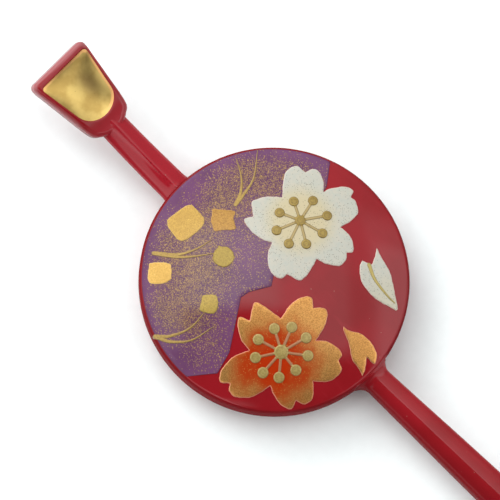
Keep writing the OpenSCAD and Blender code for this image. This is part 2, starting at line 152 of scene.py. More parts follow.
def hand_cut(line: np.ndarray, seed: int, depth: float = 0.02, step: float = 0.1) -> np.ndarray:
    """Makes a closed outline slightly uneven, as a hand leaves it.

    Args:
        line: The even outline.
        seed: Seed of its unevenness.
        depth: Height of its longest waves in millimetres.
        step: Length of its steps in millimetres.

    Returns:
        The uneven outline, in short even steps.
    """
    line = even_steps(line, step)
    rng = np.random.default_rng(seed)
    wave = np.zeros(len(line))
    # waves of four lengths in millimetres, each with its share of the depth
    for length, share in ((2.4, 1.0), (1.3, 0.8), (0.8, 0.6), (0.45, 0.45)):
        count = max(1, round(step * len(line) / length))
        turn = 2 * np.pi * count * np.arange(len(line)) / len(line)
        wave += share * rng.uniform(0.5, 1.0) * np.sin(turn + rng.uniform(0, 6.3))
    return line + depth * wave[:, None] * sideways(line)


def distance_to(points: np.ndarray, outline: np.ndarray, batch: int = 2000) -> np.ndarray:
    """Measures how far each point lies from a closed outline.

    Args:
        points: The points.
        outline: The outline's corners.
        batch: How many points are measured at once.

    Returns:
        One distance per point.
    """
    run = np.roll(outline, -1, axis=0) - outline
    best = np.full(len(points), np.inf)
    for start in range(0, len(points), batch):
        p = points[start:start + batch, None, :]
        t = np.clip(((p - outline) * run).sum(2) / np.maximum((run * run).sum(1), 1e-12), 0, 1)
        gap = p - (outline + t[..., None] * run)
        best[start:start + batch] = np.sqrt((gap * gap).sum(2)).min(1)
    return best


def is_inside(points: np.ndarray, outline: np.ndarray) -> np.ndarray:
    """Says which points lie inside a closed outline.

    Args:
        points: The points.
        outline: The outline's corners.

    Returns:
        True or False for each point.
    """
    odd = np.zeros(len(points), bool)
    for p, q in zip(outline, np.roll(outline, -1, axis=0)):
        crosses = (p[1] > points[:, 1]) != (q[1] > points[:, 1])
        if crosses.any():
            odd ^= crosses & (points[:, 0] < (q[0] - p[0]) * (points[:, 1] - p[1]) / (q[1] - p[1] + 1e-15) + p[0])
    return odd


def make_piece(name: str, verts: np.ndarray, faces: list[tuple[int, ...]], finish: bpy.types.Material,
               marks: dict[str, np.ndarray] | None = None) -> bpy.types.Object:
    """Makes a smooth-shaded mesh object from millimetres.

    Args:
        name: The object's name.
        verts: Points in millimetres, one per row.
        faces: Point numbers of each face.
        finish: Its material.
        marks: Named values, one per point, that materials read.

    Returns:
        The new object, linked to the scene.
    """
    mesh = bpy.data.meshes.new(name)
    mesh.from_pydata((np.asarray(verts, float) * MM).tolist(), [], faces)
    mesh.validate()
    for mark, values in (marks or {}).items():
        mesh.attributes.new(mark, "FLOAT", "POINT").data.foreach_set("value", np.asarray(values, np.float32))
    work = bmesh.new()
    work.from_mesh(mesh)
    bmesh.ops.remove_doubles(work, verts=work.verts, dist=1e-8)
    bmesh.ops.recalc_face_normals(work, faces=work.faces)
    work.to_mesh(mesh)
    work.free()
    mesh.polygons.foreach_set("use_smooth", [True] * len(mesh.polygons))
    mesh.materials.append(finish)
    thing = bpy.data.objects.new(name, mesh)
    bpy.context.scene.collection.objects.link(thing)
    return thing


def loft(rings: list[np.ndarray], close_ends: bool = True) -> tuple[np.ndarray, list[tuple[int, ...]]]:
    """Joins a row of equal rings into a tube.

    Args:
        rings: Closed rings of points, all with the same count.
        close_ends: Whether the first and last ring get a fan to their middle.

    Returns:
        The points and the faces.
    """
    m = len(rings[0])
    verts = [np.vstack(rings)]
    faces: list[tuple[int, ...]] = []
    for i in range(len(rings) - 1):
        for k in range(m):
            k2 = (k + 1) % m
            faces.append((i * m + k, i * m + k2, (i + 1) * m + k2, (i + 1) * m + k))
    total = len(rings) * m
    if close_ends:
        for start, ring in ((0, rings[0]), ((len(rings) - 1) * m, rings[-1])):
            verts.append(ring.mean(0)[None, :])
            faces.extend((start + k, start + (k + 1) % m, total) for k in range(m))
            total += 1
    return np.vstack(verts), faces


class Slot(Enum):
    """The record's material slots."""

    RED = "red_lacquer"
    GILDING = "gilding"
    PURPLE = "purple_lacquer"
    WHITE = "pearl_white"
    ORANGE = "orange_gold"
    STAMEN = "stamen_gold"
    LEAF = "gold_leaf"
    GRASS = "grass_gold"


@dataclass
class PaintMixer:
    """Builds up a finish, layer over layer, in a material of its own."""

    name: str
    material: bpy.types.Material = field(init=False)
    tree: bpy.types.NodeTree = field(init=False)
    spot: bpy.types.NodeSocket = field(init=False)

    def __post_init__(self) -> None:
        """Makes the bare material and fetches the place on the object, in metres."""
        self.material = bpy.data.materials.new(self.name)
        self.material.use_nodes = True
        self.tree = self.material.node_tree
        self.tree.nodes.clear()
        self.spot = add_node(self.tree, "TexCoord")["Object"]

    def over(self, under: Any, paint: Any, cover: bpy.types.NodeSocket, low: float = 0.0, high: float = 1.0,
             most: float = 1.0) -> bpy.types.NodeSocket:
        """Lays a paint over another, as thick as a value says.

        Args:
            under: The colour below, a hex code or a socket.
            paint: The colour laid over it, a hex code or a socket.
            cover: The value that says how thick the paint lies.
            low: Value at which the paint begins.
            high: Value at which it is thickest, which may be the lower of the two.
            most: How well the thickest paint covers.

        Returns:
            The new colour.
        """
        share = add_node(self.tree, "MapRange", {"Value": cover, "From Min": low, "From Max": high, "To Max": most},
                         interpolation_type="SMOOTHSTEP")["Result"]
        first, second = (linear(tone) if isinstance(tone, str) else tone for tone in (under, paint))
        return add_node(self.tree, "Mix", {0: share, 6: first, 7: second}, data_type="RGBA")[2]

    def flecks(self, size: float, reach: float, chance: Any) -> tuple[bpy.types.NodeSocket, bpy.types.NodeSocket]:
        """Scatters round flecks, at most one in each cell of a random pattern.

        Args:
            size: Size of a cell in millimetres.
            reach: Radius of a fleck as a share of a cell.
            chance: Share of the cells that hold a fleck, a number or a socket.

        Returns:
            Where the flecks are, and a random value for each.
        """
        cells = add_node(self.tree, "TexVoronoi", {"Vector": self.spot, "Scale": per_mm(size)}, feature="F1")
        split = add_node(self.tree, "SeparateColor", {"Color": cells["Color"]})
        near = add_node(self.tree, "MapRange", {"Value": cells["Distance"], "From Min": reach,
                                                "From Max": reach * 0.55})["Result"]
        kept = add_node(self.tree, "Math", {0: split["Red"], 1: chance}, operation="LESS_THAN")["Value"]
        return add_node(self.tree, "Math", {0: near, 1: kept}, operation="MULTIPLY")["Value"], split["Green"]

    def shaded(self, look: dict[str, Any]) -> bpy.types.Material:
        """Ends the material in one shader with the given look and returns it."""
        add_node(self.tree, "OutputMaterial", {"Surface": add_node(self.tree, "BsdfPrincipled", look)["BSDF"]})
        return self.material


@dataclass(frozen=True)
class RedUrushi:
    """Urushi lacquer on carved wood, rubbed on in many thin coats and polished by hand."""

    # to the eye: a deep warm red under a clear skin, whose weak but sharp reflections
    # are bent a little by slow waves that the polishing left
    name: str = "red_urushi_hand_polished"
    body: str = "#931A22"
    deep: str = "#88171D"
    thin: str = "#9A232B"
    bright_neck: str = "#A01D29"
    # pale red of the painted highlight on the head's edges
    rubbed: str = "#A9696C"
    # dark red of the chips, and of the painted shade on the rim line and the pin's lower side
    chip_and_shade_red: str = "#6A1218"
    motes: str = "#A8766C"
    coat: float = 0.65
    dull_share: float = 0.15
    cloud: float = 8.0
    wave: float = 8.0
    wave_depth: float = 0.010
    grain: float = 0.8
    grain_depth: float = 0.0006
    streak_l: float = 25 / 3
    streak_w: float = 10 / 9

    def material(self) -> bpy.types.Material:
        """Builds the finish.

        Returns:
            The material.
        """
        paint = PaintMixer(self.name)
        tree, spot = paint.tree, paint.spot
        bright_neck, chips, rubbed, rim = (add_node(tree, "Attribute", attribute_name=mark)["Fac"]
                                       for mark in ("bright_neck", "chips", "rubbed", "rim"))
        cloud, waves, grain = (
            add_node(tree, "TexNoise", {"Vector": spot, "Scale": per_mm(size), "Detail": detail})["Fac"]
            for size, detail in ((self.cloud, 3.0), (self.wave, 1.0), (self.grain, 2.0)))
        red = paint.over(self.deep, self.body, cloud, 0.35, 0.65)
        # fine streaks where the rubbing went along the stick
        stretch = (per_mm(self.streak_l), per_mm(self.streak_w), per_mm(self.streak_w))
        along = add_node(tree, "Mapping", {"Vector": spot, "Scale": stretch})["Vector"]
        streaks = add_node(tree, "TexNoise", {"Vector": along, "Scale": 1.0, "Detail": 3.0})["Fac"]
        red = paint.over(red, self.thin, streaks, 0.60, 0.75, 0.35)
        # the neck is drawn a brighter red than the head
        red = paint.over(red, self.bright_neck, bright_neck)
        # small chips along the neck's ridge
        red = paint.over(red, self.chip_and_shade_red, paint.flecks(0.28, 0.55, chips)[0], most=0.5)
        # painted highlight: the head's far edge, lower side and neck end are made pale, as where light catches them
        red = paint.over(red, self.rubbed, rubbed, most=0.6)
        # pale motes of dust caught in the last coat, about 0.1 mm
        red = paint.over(red, self.motes, paint.flecks(1.2, 0.06, 0.3)[0])
        # painted shade: the red is darker along the plate's rim line and the pin's lower side, where the coat is duller
        # too
        red = paint.over(red, self.chip_and_shade_red, rim, most=0.6)
        shine = add_node(tree, "MapRange", {"Value": rim, "To Min": self.coat,
                                            "To Max": self.dull_share * self.coat})["Result"]
        slow = add_node(tree, "Bump", {"Height": waves, "Distance": self.wave_depth * MM, "Strength": 1.0})["Normal"]
        fine = add_node(tree, "Bump", {"Height": grain, "Distance": self.grain_depth * MM, "Strength": 1.0,
                                       "Normal": slow})["Normal"]
        return paint.shaded({"Base Color": red, "Normal": slow, "Coat Normal": fine, "Coat Weight": shine,
                             "Roughness": 0.5, "Specular IOR Level": 0.0, "Coat Roughness": 0.04})


@dataclass(frozen=True)
class PurpleNashiji:
    """Purple urushi, brushed on, sprinkled with gold powder while wet and polished flush."""

    # to the eye: a dusky violet under a clear skin, with fine tan and gold grains that
    # lie thick in a drift on the head side and thin out to single grains
    name: str = "purple_urushi_sprinkled"
    body: str = "#71476B"
    deep: str = "#674061"
    shadow: str = "#5A3D52"
    dull_grain: str = "#7E6046"
    bright_grain: str = "#B8945A"
    seam: str = "#4C2C40"
    cloud: float = 6.0
    patch: float = 1.4
    wave: float = 8.0
    wave_depth: float = 0.010
    fine: float = 0.12
    coarse: float = 0.20
    coat: float = 0.65

    def material(self) -> bpy.types.Material:
        """Builds the finish.

        Returns:
            The material.
        """
        paint = PaintMixer(self.name)
        tree, spot = paint.tree, paint.spot
        dust, edge = (add_node(tree, "Attribute", attribute_name=mark)["Fac"] for mark in ("dust", "edge"))
        cloud, patches, waves = (
            add_node(tree, "TexNoise", {"Vector": spot, "Scale": per_mm(size), "Detail": detail})["Fac"]
            for size, detail in ((self.cloud, 3.0), (self.patch, 3.0), (self.wave, 1.0)))
        colour = paint.over(self.deep, self.body, cloud, 0.35, 0.65)
        # the ground is drawn darker where the powder lies thick
        colour = paint.over(colour, self.shadow, dust, 0.15, 1.0, 0.65)
        uneven = add_node(tree, "MapRange", {"Value": patches, "From Min": 0.3, "From Max": 0.7, "To Min": 0.7,
                                             "To Max": 1.2})["Result"]
        thick = add_node(tree, "Math", {0: dust, 1: uneven}, operation="MULTIPLY")["Value"]
        # real grains are 0.05 to 0.15 mm; they are drawn a little coarser so that they show
        for size, share in ((self.fine, 1.0), (self.coarse, 0.10)):
            chance = add_node(tree, "Math", {0: thick, 1: share}, operation="MULTIPLY")["Value"]
            grain, tone = paint.flecks(size, 0.68, chance)
            colour = paint.over(colour, paint.over(self.dull_grain, self.bright_grain, tone), grain, most=0.9)
        # a thin dark seam where the purple ends, and less polish on the way there
        colour = paint.over(colour, self.seam, edge, 0.12, 0.04, 0.8)
        shine = add_node(tree, "MapRange", {"Value": edge, "From Min": 0.3, "From Max": 0.6, "To Min": 0.3 * self.coat,
                                            "To Max": self.coat})["Result"]
        slow = add_node(tree, "Bump", {"Height": waves, "Distance": self.wave_depth * MM, "Strength": 1.0})["Normal"]
        return paint.shaded({"Base Color": colour, "Coat Normal": slow, "Coat Weight": shine, "Roughness": 0.5,
                             "Specular IOR Level": 0.0, "Coat Roughness": 0.04})


@dataclass(frozen=True)
class WhiteUrushi:
    """White urushi, brushed on in a slightly raised coat."""

    # to the eye: a chalky, faintly green white that warms to cream round the blossom's
    # middle, with dark pinholes where bubbles burst and a thin rosy grey edge
    name: str = "white_urushi_brushed"
    body: str = "#C1BEB0"
    cool: str = "#B9BBB0"
    warm: str = "#C9B98C"
    edge_line: str = "#D9BFB4"
    pinhole: str = "#575042"
    warmth: float = 0.75
    mottle: float = 0.6
    cloud: float = 3.5
    patch: float = 3.0

    def material(self) -> bpy.types.Material:
        """Builds the finish.

        Returns:
            The material.
        """
        paint = PaintMixer(self.name)
        tree, spot = paint.tree, paint.spot
        reach, edge = (add_node(tree, "Attribute", attribute_name=mark)["Fac"] for mark in ("reach", "edge"))
        mottle, cloud, patches = (
            add_node(tree, "TexNoise", {"Vector": spot, "Scale": per_mm(size), "Detail": detail,
                                        "Roughness": rough})["Fac"]
            for size, detail, rough in ((self.mottle, 4.0, 0.65), (self.cloud, 1.0, 0.5), (self.patch, 2.0, 0.5)))
        colour = paint.over(self.cool, self.body, mottle, 0.35, 0.60)
        colour = paint.over(colour, self.cool, cloud, 0.45, 0.70, 0.7)
        colour = paint.over(colour, self.warm, reach, 0.70, 0.32, self.warmth)
        # pinholes of about 0.1 mm in patches
        chance = add_node(tree, "MapRange", {"Value": patches, "From Min": 0.42, "From Max": 0.62,
                                             "To Min": 0.25})["Result"]
        colour = paint.over(colour, self.pinhole, paint.flecks(0.23, 0.30, chance)[0], most=0.75)
        colour = paint.over(colour, self.edge_line, edge, 0.12, 0.03, 0.85)
        brushed = add_node(tree, "Bump", {"Height": mottle, "Distance": 0.003 * MM, "Strength": 1.0})["Normal"]
        return paint.shaded({"Base Color": colour, "Normal": brushed, "Roughness": 0.5, "Specular IOR Level": 0.1,
                             "Coat Weight": 0.6, "Coat Roughness": 0.08})


@dataclass(frozen=True)
class VermilionToGold:
    """Vermilion urushi, brushed on and shaded outwards with sprinkled gold powder."""

    # to the eye: a hot red orange round the stamens that fades to a sandy, half matt
    # gold at the petals' ends, inside a thin rosy edge
    name: str = "vermilion_urushi_shaded_gold"
    heart: str = "#AE300C"
    middle: str = "#B24E22"
    outer: str = "#D6A05A"
    sand: str = "#AE7A42"
    edge_line: str = "#D8957A"
    dull_grain: str = "#9A6430"
    bright_grain: str = "#CFA058"
    start: float = 0.30
    end: float = 0.84
    cloud_push: float = 0.7
    cloud: float = 3.0
    grain: float = 0.16
    metal: float = 0.70

    def material(self) -> bpy.types.Material:
        """Builds the finish.

        Returns:
            The material.
        """
        paint = PaintMixer(self.name)
        tree, spot = paint.tree, paint.spot
        out, edge = (add_node(tree, "Attribute", attribute_name=mark)["Fac"] for mark in ("reach", "edge"))
        # real powder is about 0.05 mm; its speckle is drawn coarser so that it shows
        cloud, speckle = (
            add_node(tree, "TexNoise", {"Vector": spot, "Scale": per_mm(size), "Detail": detail,
                                        "Roughness": rough})["Fac"]
            for size, detail, rough in ((self.cloud, 3.0, 0.5), (self.grain, 2.0, 0.7)))
        # the clouds make the shading's reach uneven, and add half their strength to it
        reach = add_node(tree, "Math", {0: cloud, 1: self.cloud_push, 2: out}, operation="MULTIPLY_ADD")["Value"]
        start, end = self.start + self.cloud_push / 2, self.end + self.cloud_push / 2
        half = (start + end) / 2
        colour = paint.over(self.heart, self.middle, reach, start, half)
        gold = paint.over(self.sand, self.outer, speckle, 0.36, 0.62)
        colour = paint.over(colour, gold, reach, half - 0.15, end, 0.95)
        # loose grains of the powder over the shading
        chance = add_node(tree, "MapRange", {"Value": reach, "From Min": start - 0.15, "From Max": end - 0.15,
                                             "To Max": 0.4})["Result"]
        grain, tone = paint.flecks(0.15, 0.60, chance)
        colour = paint.over(colour, paint.over(self.dull_grain, self.bright_grain, tone), grain, most=0.45)
        colour = paint.over(colour, self.edge_line, edge, 0.14, 0.06, 0.9)
        # powder shines as metal where it lies thick
        metal = add_node(tree, "MapRange", {"Value": reach, "From Min": start, "From Max": end,
                                            "To Max": self.metal})["Result"]
        rough = add_node(tree, "Bump", {"Height": speckle, "Distance": 0.0015 * MM, "Strength": 1.0})["Normal"]
        return paint.shaded({"Base Color": colour, "Normal": rough, "Metallic": metal, "Roughness": 0.28,
                             "Specular IOR Level": 0.0, "Coat Weight": 0.12, "Coat Roughness": 0.08})


@dataclass(frozen=True)
class BurnishedPowder:
    """Gold powder or leaf, laid on wet urushi and rubbed with a burnisher."""

    # to the eye: a flat, sandy olive or yellow gold with fine grain, worn specks and a
    # darker line round it, not a mirror
    name: str
    body: str
    shade: str
    edge_line: str
    edge_width: float = 0.14
    cloud: float = 2.4
    grain: float = 0.25
    wear: float = 0.10
    thread_tone: str = ""
    metal: float = 0.5
    roughness: float = 0.45
    ring: float = 0.0
    ring_at: float = 0.36

    def material(self) -> bpy.types.Material:
        """Builds the finish.

        Returns:
            The material.
        """
        paint = PaintMixer(self.name)
        tree, spot = paint.tree, paint.spot
        edge = add_node(tree, "Attribute", attribute_name="edge")["Fac"]
        # real powder is about 0.05 mm; its speckle is drawn coarser so that it shows
        cloud, speckle = (
            add_node(tree, "TexNoise", {"Vector": spot, "Scale": per_mm(size), "Detail": detail,
                                        "Roughness": rough})["Fac"]
            for size, detail, rough in ((self.cloud, 2.0, 0.5), (self.grain, 3.0, 0.7)))
        colour = paint.over(self.shade, self.body, speckle, 0.36, 0.62)
        colour = paint.over(colour, self.shade, cloud, 0.45, 0.75, 0.5)
        if self.thread_tone:
            thread = add_node(tree, "Attribute", attribute_name="thread")["Fac"]
            colour = paint.over(colour, self.thread_tone, thread)
        colour = paint.over(colour, self.edge_line, paint.flecks(0.40, 0.24, self.wear)[0], most=0.8)
        colour = paint.over(colour, self.edge_line, edge, self.edge_width, 0.2 * self.edge_width, 0.85)
        # the paint sinks to a darker ring inside the round heads
        ring = add_node(tree, "Math", {0: edge, 1: self.ring_at, 2: 0.12}, operation="COMPARE")["Value"]
        colour = paint.over(colour, self.edge_line, ring, most=self.ring)
        rough = add_node(tree, "Bump", {"Height": speckle, "Distance": 0.002 * MM, "Strength": 1.0})["Normal"]
        return paint.shaded({"Base Color": colour, "Normal": rough, "Metallic": self.metal, "Roughness": self.roughness,
                             "Coat Weight": 0.4, "Coat Roughness": 0.12})


@dataclass(frozen=True)
class BurnishedGilding:
    """Gold leaf, laid in the hollow over urushi and burnished by hand."""

    # to the eye: a warm satin metal with broad, cloudy reflections and worn specks, a brown
    # painted dark reflection on one side of the hollow, and a painted highlight along its lip
    name: str = "gilding_hand_burnished"
    bright: str = "#D3B76E"
    dull: str = "#B69856"
    wear_and_dark_reflection: str = "#8E7048"
    lip: str = "#F2B878"

    def material(self) -> bpy.types.Material:
        """Builds the finish.

        Returns:
            The material.
        """
        paint = PaintMixer(self.name)
        tree = paint.tree
        wear_and_dark_reflection, lip = (add_node(tree, "Attribute", attribute_name=mark)["Fac"] for mark in ("wear_and_dark_reflection", "lip"))
        clouds = add_node(tree, "TexNoise", {"Vector": paint.spot, "Scale": per_mm(3.0), "Detail": 4.0})["Fac"]
        colour = paint.over(self.dull, self.bright, clouds, 0.35, 0.62)
        colour = paint.over(colour, self.wear_and_dark_reflection, paint.flecks(0.7, 0.12, 0.12)[0], most=0.6)
        # painted dark reflection: a soft brown patch on one side of the hollow
        colour = paint.over(colour, self.wear_and_dark_reflection, wear_and_dark_reflection, most=0.55)
        # painted highlight along the lip's upper side and far end
        colour = paint.over(colour, self.lip, lip, most=0.8)
        hollows = add_node(tree, "Bump", {"Height": clouds, "Distance": 0.012 * MM, "Strength": 1.0})["Normal"]
        return paint.shaded({"Base Color": colour, "Normal": hollows, "Metallic": 1.0, "Roughness": 0.40})


@dataclass(frozen=True)
class TablePaint:
    """White emulsion paint, rolled on a smooth table top."""

    # to the eye: a near white too matt to mirror anything, so only soft shadows show
    name: str = "white_paint_matt"
    body: str = "#EEF4F4"
    tooth: str = "#EAF0F0"

    def material(self) -> bpy.types.Material:
        """Builds the finish.

        Returns:
            The material.
        """
        paint = PaintMixer(self.name)
        cloud = add_node(paint.tree, "TexNoise", {"Vector": paint.spot, "Scale": per_mm(1.5), "Detail": 2.0})["Fac"]
        return paint.shaded({"Base Color": paint.over(self.tooth, self.body, cloud), "Roughness": 0.85,
                             "Specular IOR Level": 0.1})


@dataclass(frozen=True)
class PlateForm:
    """The round plate's shape: a domed front, a rounded rim and a flat back."""

    radius: float = 19.0
    height: float = 9.0
    dome_radius: float = 60.0
    front_edge: float = 0.8
    back_edge: float = 3.2

    @property
    def dome_z(self) -> float:
        """Height of the dome's own middle point."""
        return self.height - self.dome_radius

    @property
    def edge_x(self) -> float:
        """Distance of the rim's front rounding from the axis."""
        return self.radius - self.front_edge

    @property
    def edge_z(self) -> float:
        """Height of the middle of the rim's front rounding."""
        return self.dome_z + math.sqrt((self.dome_radius - self.front_edge) ** 2 - self.edge_x ** 2)

    @property
    def meeting_x(self) -> float:
        """Distance from the axis at which dome and rounding meet."""
        return self.edge_x * self.dome_radius / (self.dome_radius - self.front_edge)

    def crown(self, r: np.ndarray, lift: Any = 0.0) -> np.ndarray:
        """Gives the height of the painted front.

        Args:
            r: Distances from the axis.
            lift: How far above the lacquer, as a number or one per point.

        Returns:
            One height per point.
        """
        r = np.asarray(r, float)
        dome = self.dome_z + np.sqrt((self.dome_radius + lift) ** 2 - r * r)
        bend = self.edge_z + np.sqrt(np.maximum((self.front_edge + lift) ** 2 - np.maximum(r - self.edge_x, 0) ** 2, 0))
        return np.where(r < self.meeting_x, dome, bend)

    def profile(self) -> np.ndarray:
        """Gives the half section, as distances from the axis and heights.

        Returns:
            A row of points from the top's middle to the back's middle.
        """
        back_r = min(self.back_edge, self.edge_z - 0.2)
        across = np.linspace(0, self.meeting_x, 34)
        first = math.degrees(math.asin(self.edge_x / (self.dome_radius - self.front_edge)))
        edge, corner = np.array([self.edge_x, self.edge_z]), np.array([self.radius - back_r, back_r])
        front = [edge + self.front_edge * spoke(a) for a in np.linspace(90 - first, 0, 30)[1:]]
        upright = [(self.radius, z) for z in np.linspace(self.edge_z, back_r, 5)[1:-1]]
        rear = [corner + back_r * spoke(a) for a in np.linspace(0, -90, 18)]
        back = [(corner[0] * share, 0.0) for share in (0.97, 0.6, 0.3, 0.0)]
        return np.vstack([np.column_stack([across, self.crown(across)]), front, upright, rear, back])


@dataclass
class Plate:
    """The red plate itself."""

    form: PlateForm
    steps: int = 256
    # the rim's line of painted shade, where the coat is also duller: its width and soft edge, where it begins on
    # the side wall, and the gap left for the pin's root
    line_w: float = 0.38
    line_soft: float = 0.16
    line_foot: tuple[float, float] = (1.0, 3.0)
    pin_gap: tuple[float, float] = (2.6, 3.4)

    def build(self, lacquer: bpy.types.Material) -> bpy.types.Object:
        """Turns the half section round the axis.

        Args:
            lacquer: The finish.

        Returns:
            The plate.
        """
        section = self.form.profile()
        turn = 2 * np.pi * np.arange(self.steps) / self.steps
        verts, faces = loft([np.stack([r * np.cos(turn), r * np.sin(turn), np.full(self.steps, z)], 1)
                             for r, z in section[1:-1]])
        verts[-2, 2], verts[-1, 2] = section[0, 1], section[-1, 1]
        x, y, z = verts.T
        # painted shade and a duller coat on the rim's outer line
        rim = np.clip((np.hypot(x, y) - self.form.radius + self.line_w) / self.line_soft, 0, 1)
        rim *= np.interp(z, self.line_foot, (0, 1))
        rim *= np.where(x > 0, np.interp(np.abs(y), self.pin_gap, (0, 1)), 1)
        return make_piece("plate", verts, faces, lacquer, {"rim": rim})


@dataclass
class Relief:
    """A thin raised layer on the plate's front, rounded down at its edge."""

    outline: np.ndarray
    top: float
    round_over: float
    pitch: float
    middle: tuple[float, float] = (0.0, 0.0)
    reach: float = 1.0
    foot: float = -0.02
    crowning: float = 0.0

    def points(self) -> tuple[np.ndarray, np.ndarray]:
        """Spreads points over the layer, closer together at its edge.

        Returns:
            All the points, with those of the outline first, and the dense outline.
        """
        line = even_steps(self.outline, self.pitch * 0.7)
        low, high = line.min(0), line.max(0)
        # rows of a triangular grid, sin 60 degrees of its pitch apart
        xs, ys = np.arange(low[0], high[0], self.pitch), np.arange(low[1], high[1], self.pitch * 0.866)
        grid = np.array([(x + (j % 2) * self.pitch / 2, y) for j, y in enumerate(ys) for x in xs])
        ahead = np.roll(line, -1, axis=0)
        area = 0.5 * (line[:, 0] * ahead[:, 1] - ahead[:, 0] * line[:, 1]).sum()
        inward = sideways(line) if area > 0 else -sideways(line)
        rings = []
        for share in (0.1, 0.3, 0.6, 1.0):
            d = share * self.round_over
            ring = line + inward * d
            rings.append(ring[(distance_to(ring, line) > 0.9 * d) & is_inside(ring, line)])
        near = distance_to(grid, line) if len(grid) else np.zeros(0)
        grid = grid[(near > self.round_over + 0.45 * self.pitch) & is_inside(grid, line)]
        return np.vstack([line, *rings, grid]), line

    def mesh(self, form: PlateForm) -> tuple[np.ndarray, list[tuple[int, ...]], dict[str, np.ndarray]]:
        """Works out the layer's points, faces and marks.

        Args:
            form: The plate that the layer lies on.

        Returns:
            Points in millimetres, faces, and the marks edge and reach.
        """
        spread, line = self.points()
        n = len(line)
        loop = [(i, (i + 1) % n) for i in range(n)]
        found = delaunay_2d_cdt([Vector(p) for p in spread.tolist()], loop, [], 1, 1e-6)
        flat = np.array([(v.x, v.y) for v in found[0]])
        inner = distance_to(flat, line)
        keep = is_inside(np.array([flat[list(f)].mean(0) for f in found[2]]), line)
        faces = [tuple(f) for f, k in zip(found[2], keep) if k]
        rise = np.sqrt(1 - (1 - np.clip(inner / self.round_over, 0, 1)) ** 2)
        swell = self.crowning * (1 - np.exp(-inner / max(3 * self.round_over, 1e-6)))
        lift = self.foot + (self.top + swell - self.foot) * rise
        r = np.minimum(np.linalg.norm(flat, axis=1), form.radius)
        marks = {"edge": inner, "reach": np.linalg.norm(flat - np.array(self.middle), axis=1) / self.reach}
        return np.column_stack([flat, form.crown(r, lift)]), faces, marks


def build_layers(name: str, layers: list[Relief], form: PlateForm, finish: bpy.types.Material,
                 extra: dict[str, Any] | None = None) -> bpy.types.Object:
    """Makes one object from one or more raised layers.

    Args:
        name: The object's name.
        layers: The layers.
        form: The plate they lie on.
        finish: Their material.
        extra: Further marks, each a function of the points in plan.

    Returns:
        The new object.
    """
    verts: list[np.ndarray] = []
    faces: list[tuple[int, ...]] = []
    marks: dict[str, list[np.ndarray]] = {"edge": [], "reach": []}
    for layer in layers:
        start = sum(map(len, verts))
        points, corners, values = layer.mesh(form)
        verts.append(points)
        faces.extend(tuple(i + start for i in face) for face in corners)
        for mark, row in values.items():
            marks[mark].append(row)
    points = np.vstack(verts)
    values = {mark: np.concatenate(rows) for mark, rows in marks.items()}
    values.update({mark: rule(points[:, :2]) for mark, rule in (extra or {}).items()})
    return make_piece(name, points, faces, finish, values)


@dataclass
class Blossom:
    """A five-petalled blossom with threads and round heads round a raised eye."""

    name: str
    at: tuple[float, float]
    reach: float
    petals: list[list[tuple[float, float]]]
    stamens: list[tuple[float, float]]
    stamen_reach: float
    head_d: float
    eye_d: float
    shade_shift: tuple[float, float] = (0.0, 0.0)
    thread_w: float = 0.44
    top: float = 0.13
    gold_top: float = 0.24
    gold_foot: float = 0.07
    thread_drop: float = 0.05
    thread_clear: float = 0.08

    def outline(self) -> np.ndarray:
        """Draws the petals, with sharp valleys between them and sharp notches.

        Returns:
            The closed outline.
        """
        middle = np.array(self.at)
        rows = []
        for i, row in enumerate(self.petals):
            after = self.petals[(i + 1) % len(self.petals)][0]
            points = [middle + self.reach * far * spoke(turn) for turn, far in [*row, after]]
            rows += [smooth_curve(points[:5], 8)[:-1], smooth_curve(points[4:], 8)[:-1]]
        return np.vstack(rows)

    def build(self, form: PlateForm, lacquer: bpy.types.Material, gold: bpy.types.Material) -> list[bpy.types.Object]:
        """Builds the blossom and its stamens.

        Args:
            form: The plate it lies on.
            lacquer: The petals' finish.
            gold: The stamens' finish.

        Returns:
            The petals and the stamens.
        """
        shade_from = (self.at[0] + self.shade_shift[0], self.at[1] + self.shade_shift[1])
        painted = Relief(hand_cut(self.outline(), 5), self.top, round_over=0.14, pitch=0.3, middle=shade_from,
                         reach=self.reach)
        middle, foot = np.array(self.at), self.gold_foot
        circle = np.array([spoke(a) for a in range(0, 360, 9)])
        tips = [middle + self.stamen_reach * far * spoke(turn) for turn, far in self.stamens]
        eye, top = middle + self.eye_d / 2 * circle, self.gold_top
        layers = [Relief(eye, top, round_over=0.22, pitch=0.14, foot=foot, crowning=0.03)]
        for (turn, _), tip in zip(self.stamens, tips):
            head = tip + self.head_d / 2 * circle
            layers.append(Relief(head, top, round_over=0.18, pitch=0.13, foot=foot, crowning=0.02))
            side = self.thread_w / 2 * spoke(turn + 90)
            strip = np.array([middle + side, middle - side, tip - side, tip + side])
            layers.append(Relief(strip, top - self.thread_drop, round_over=0.13, pitch=0.12, foot=foot))
        rounds = [(middle, self.eye_d / 2), *((tip, self.head_d / 2) for tip in tips)]

        def on_thread(plan: np.ndarray) -> np.ndarray:
            """Gives 1 on the threads, clear of the eye and the heads, and 0 elsewhere."""
            clear = [np.linalg.norm(plan - at, axis=1) > r + self.thread_clear for at, r in rounds]
            return np.min(clear, axis=0).astype(float)

        return [build_layers(self.name + "_petals", [painted], form, lacquer),
                build_layers(self.name + "_gold", layers, form, gold, {"thread": on_thread})]


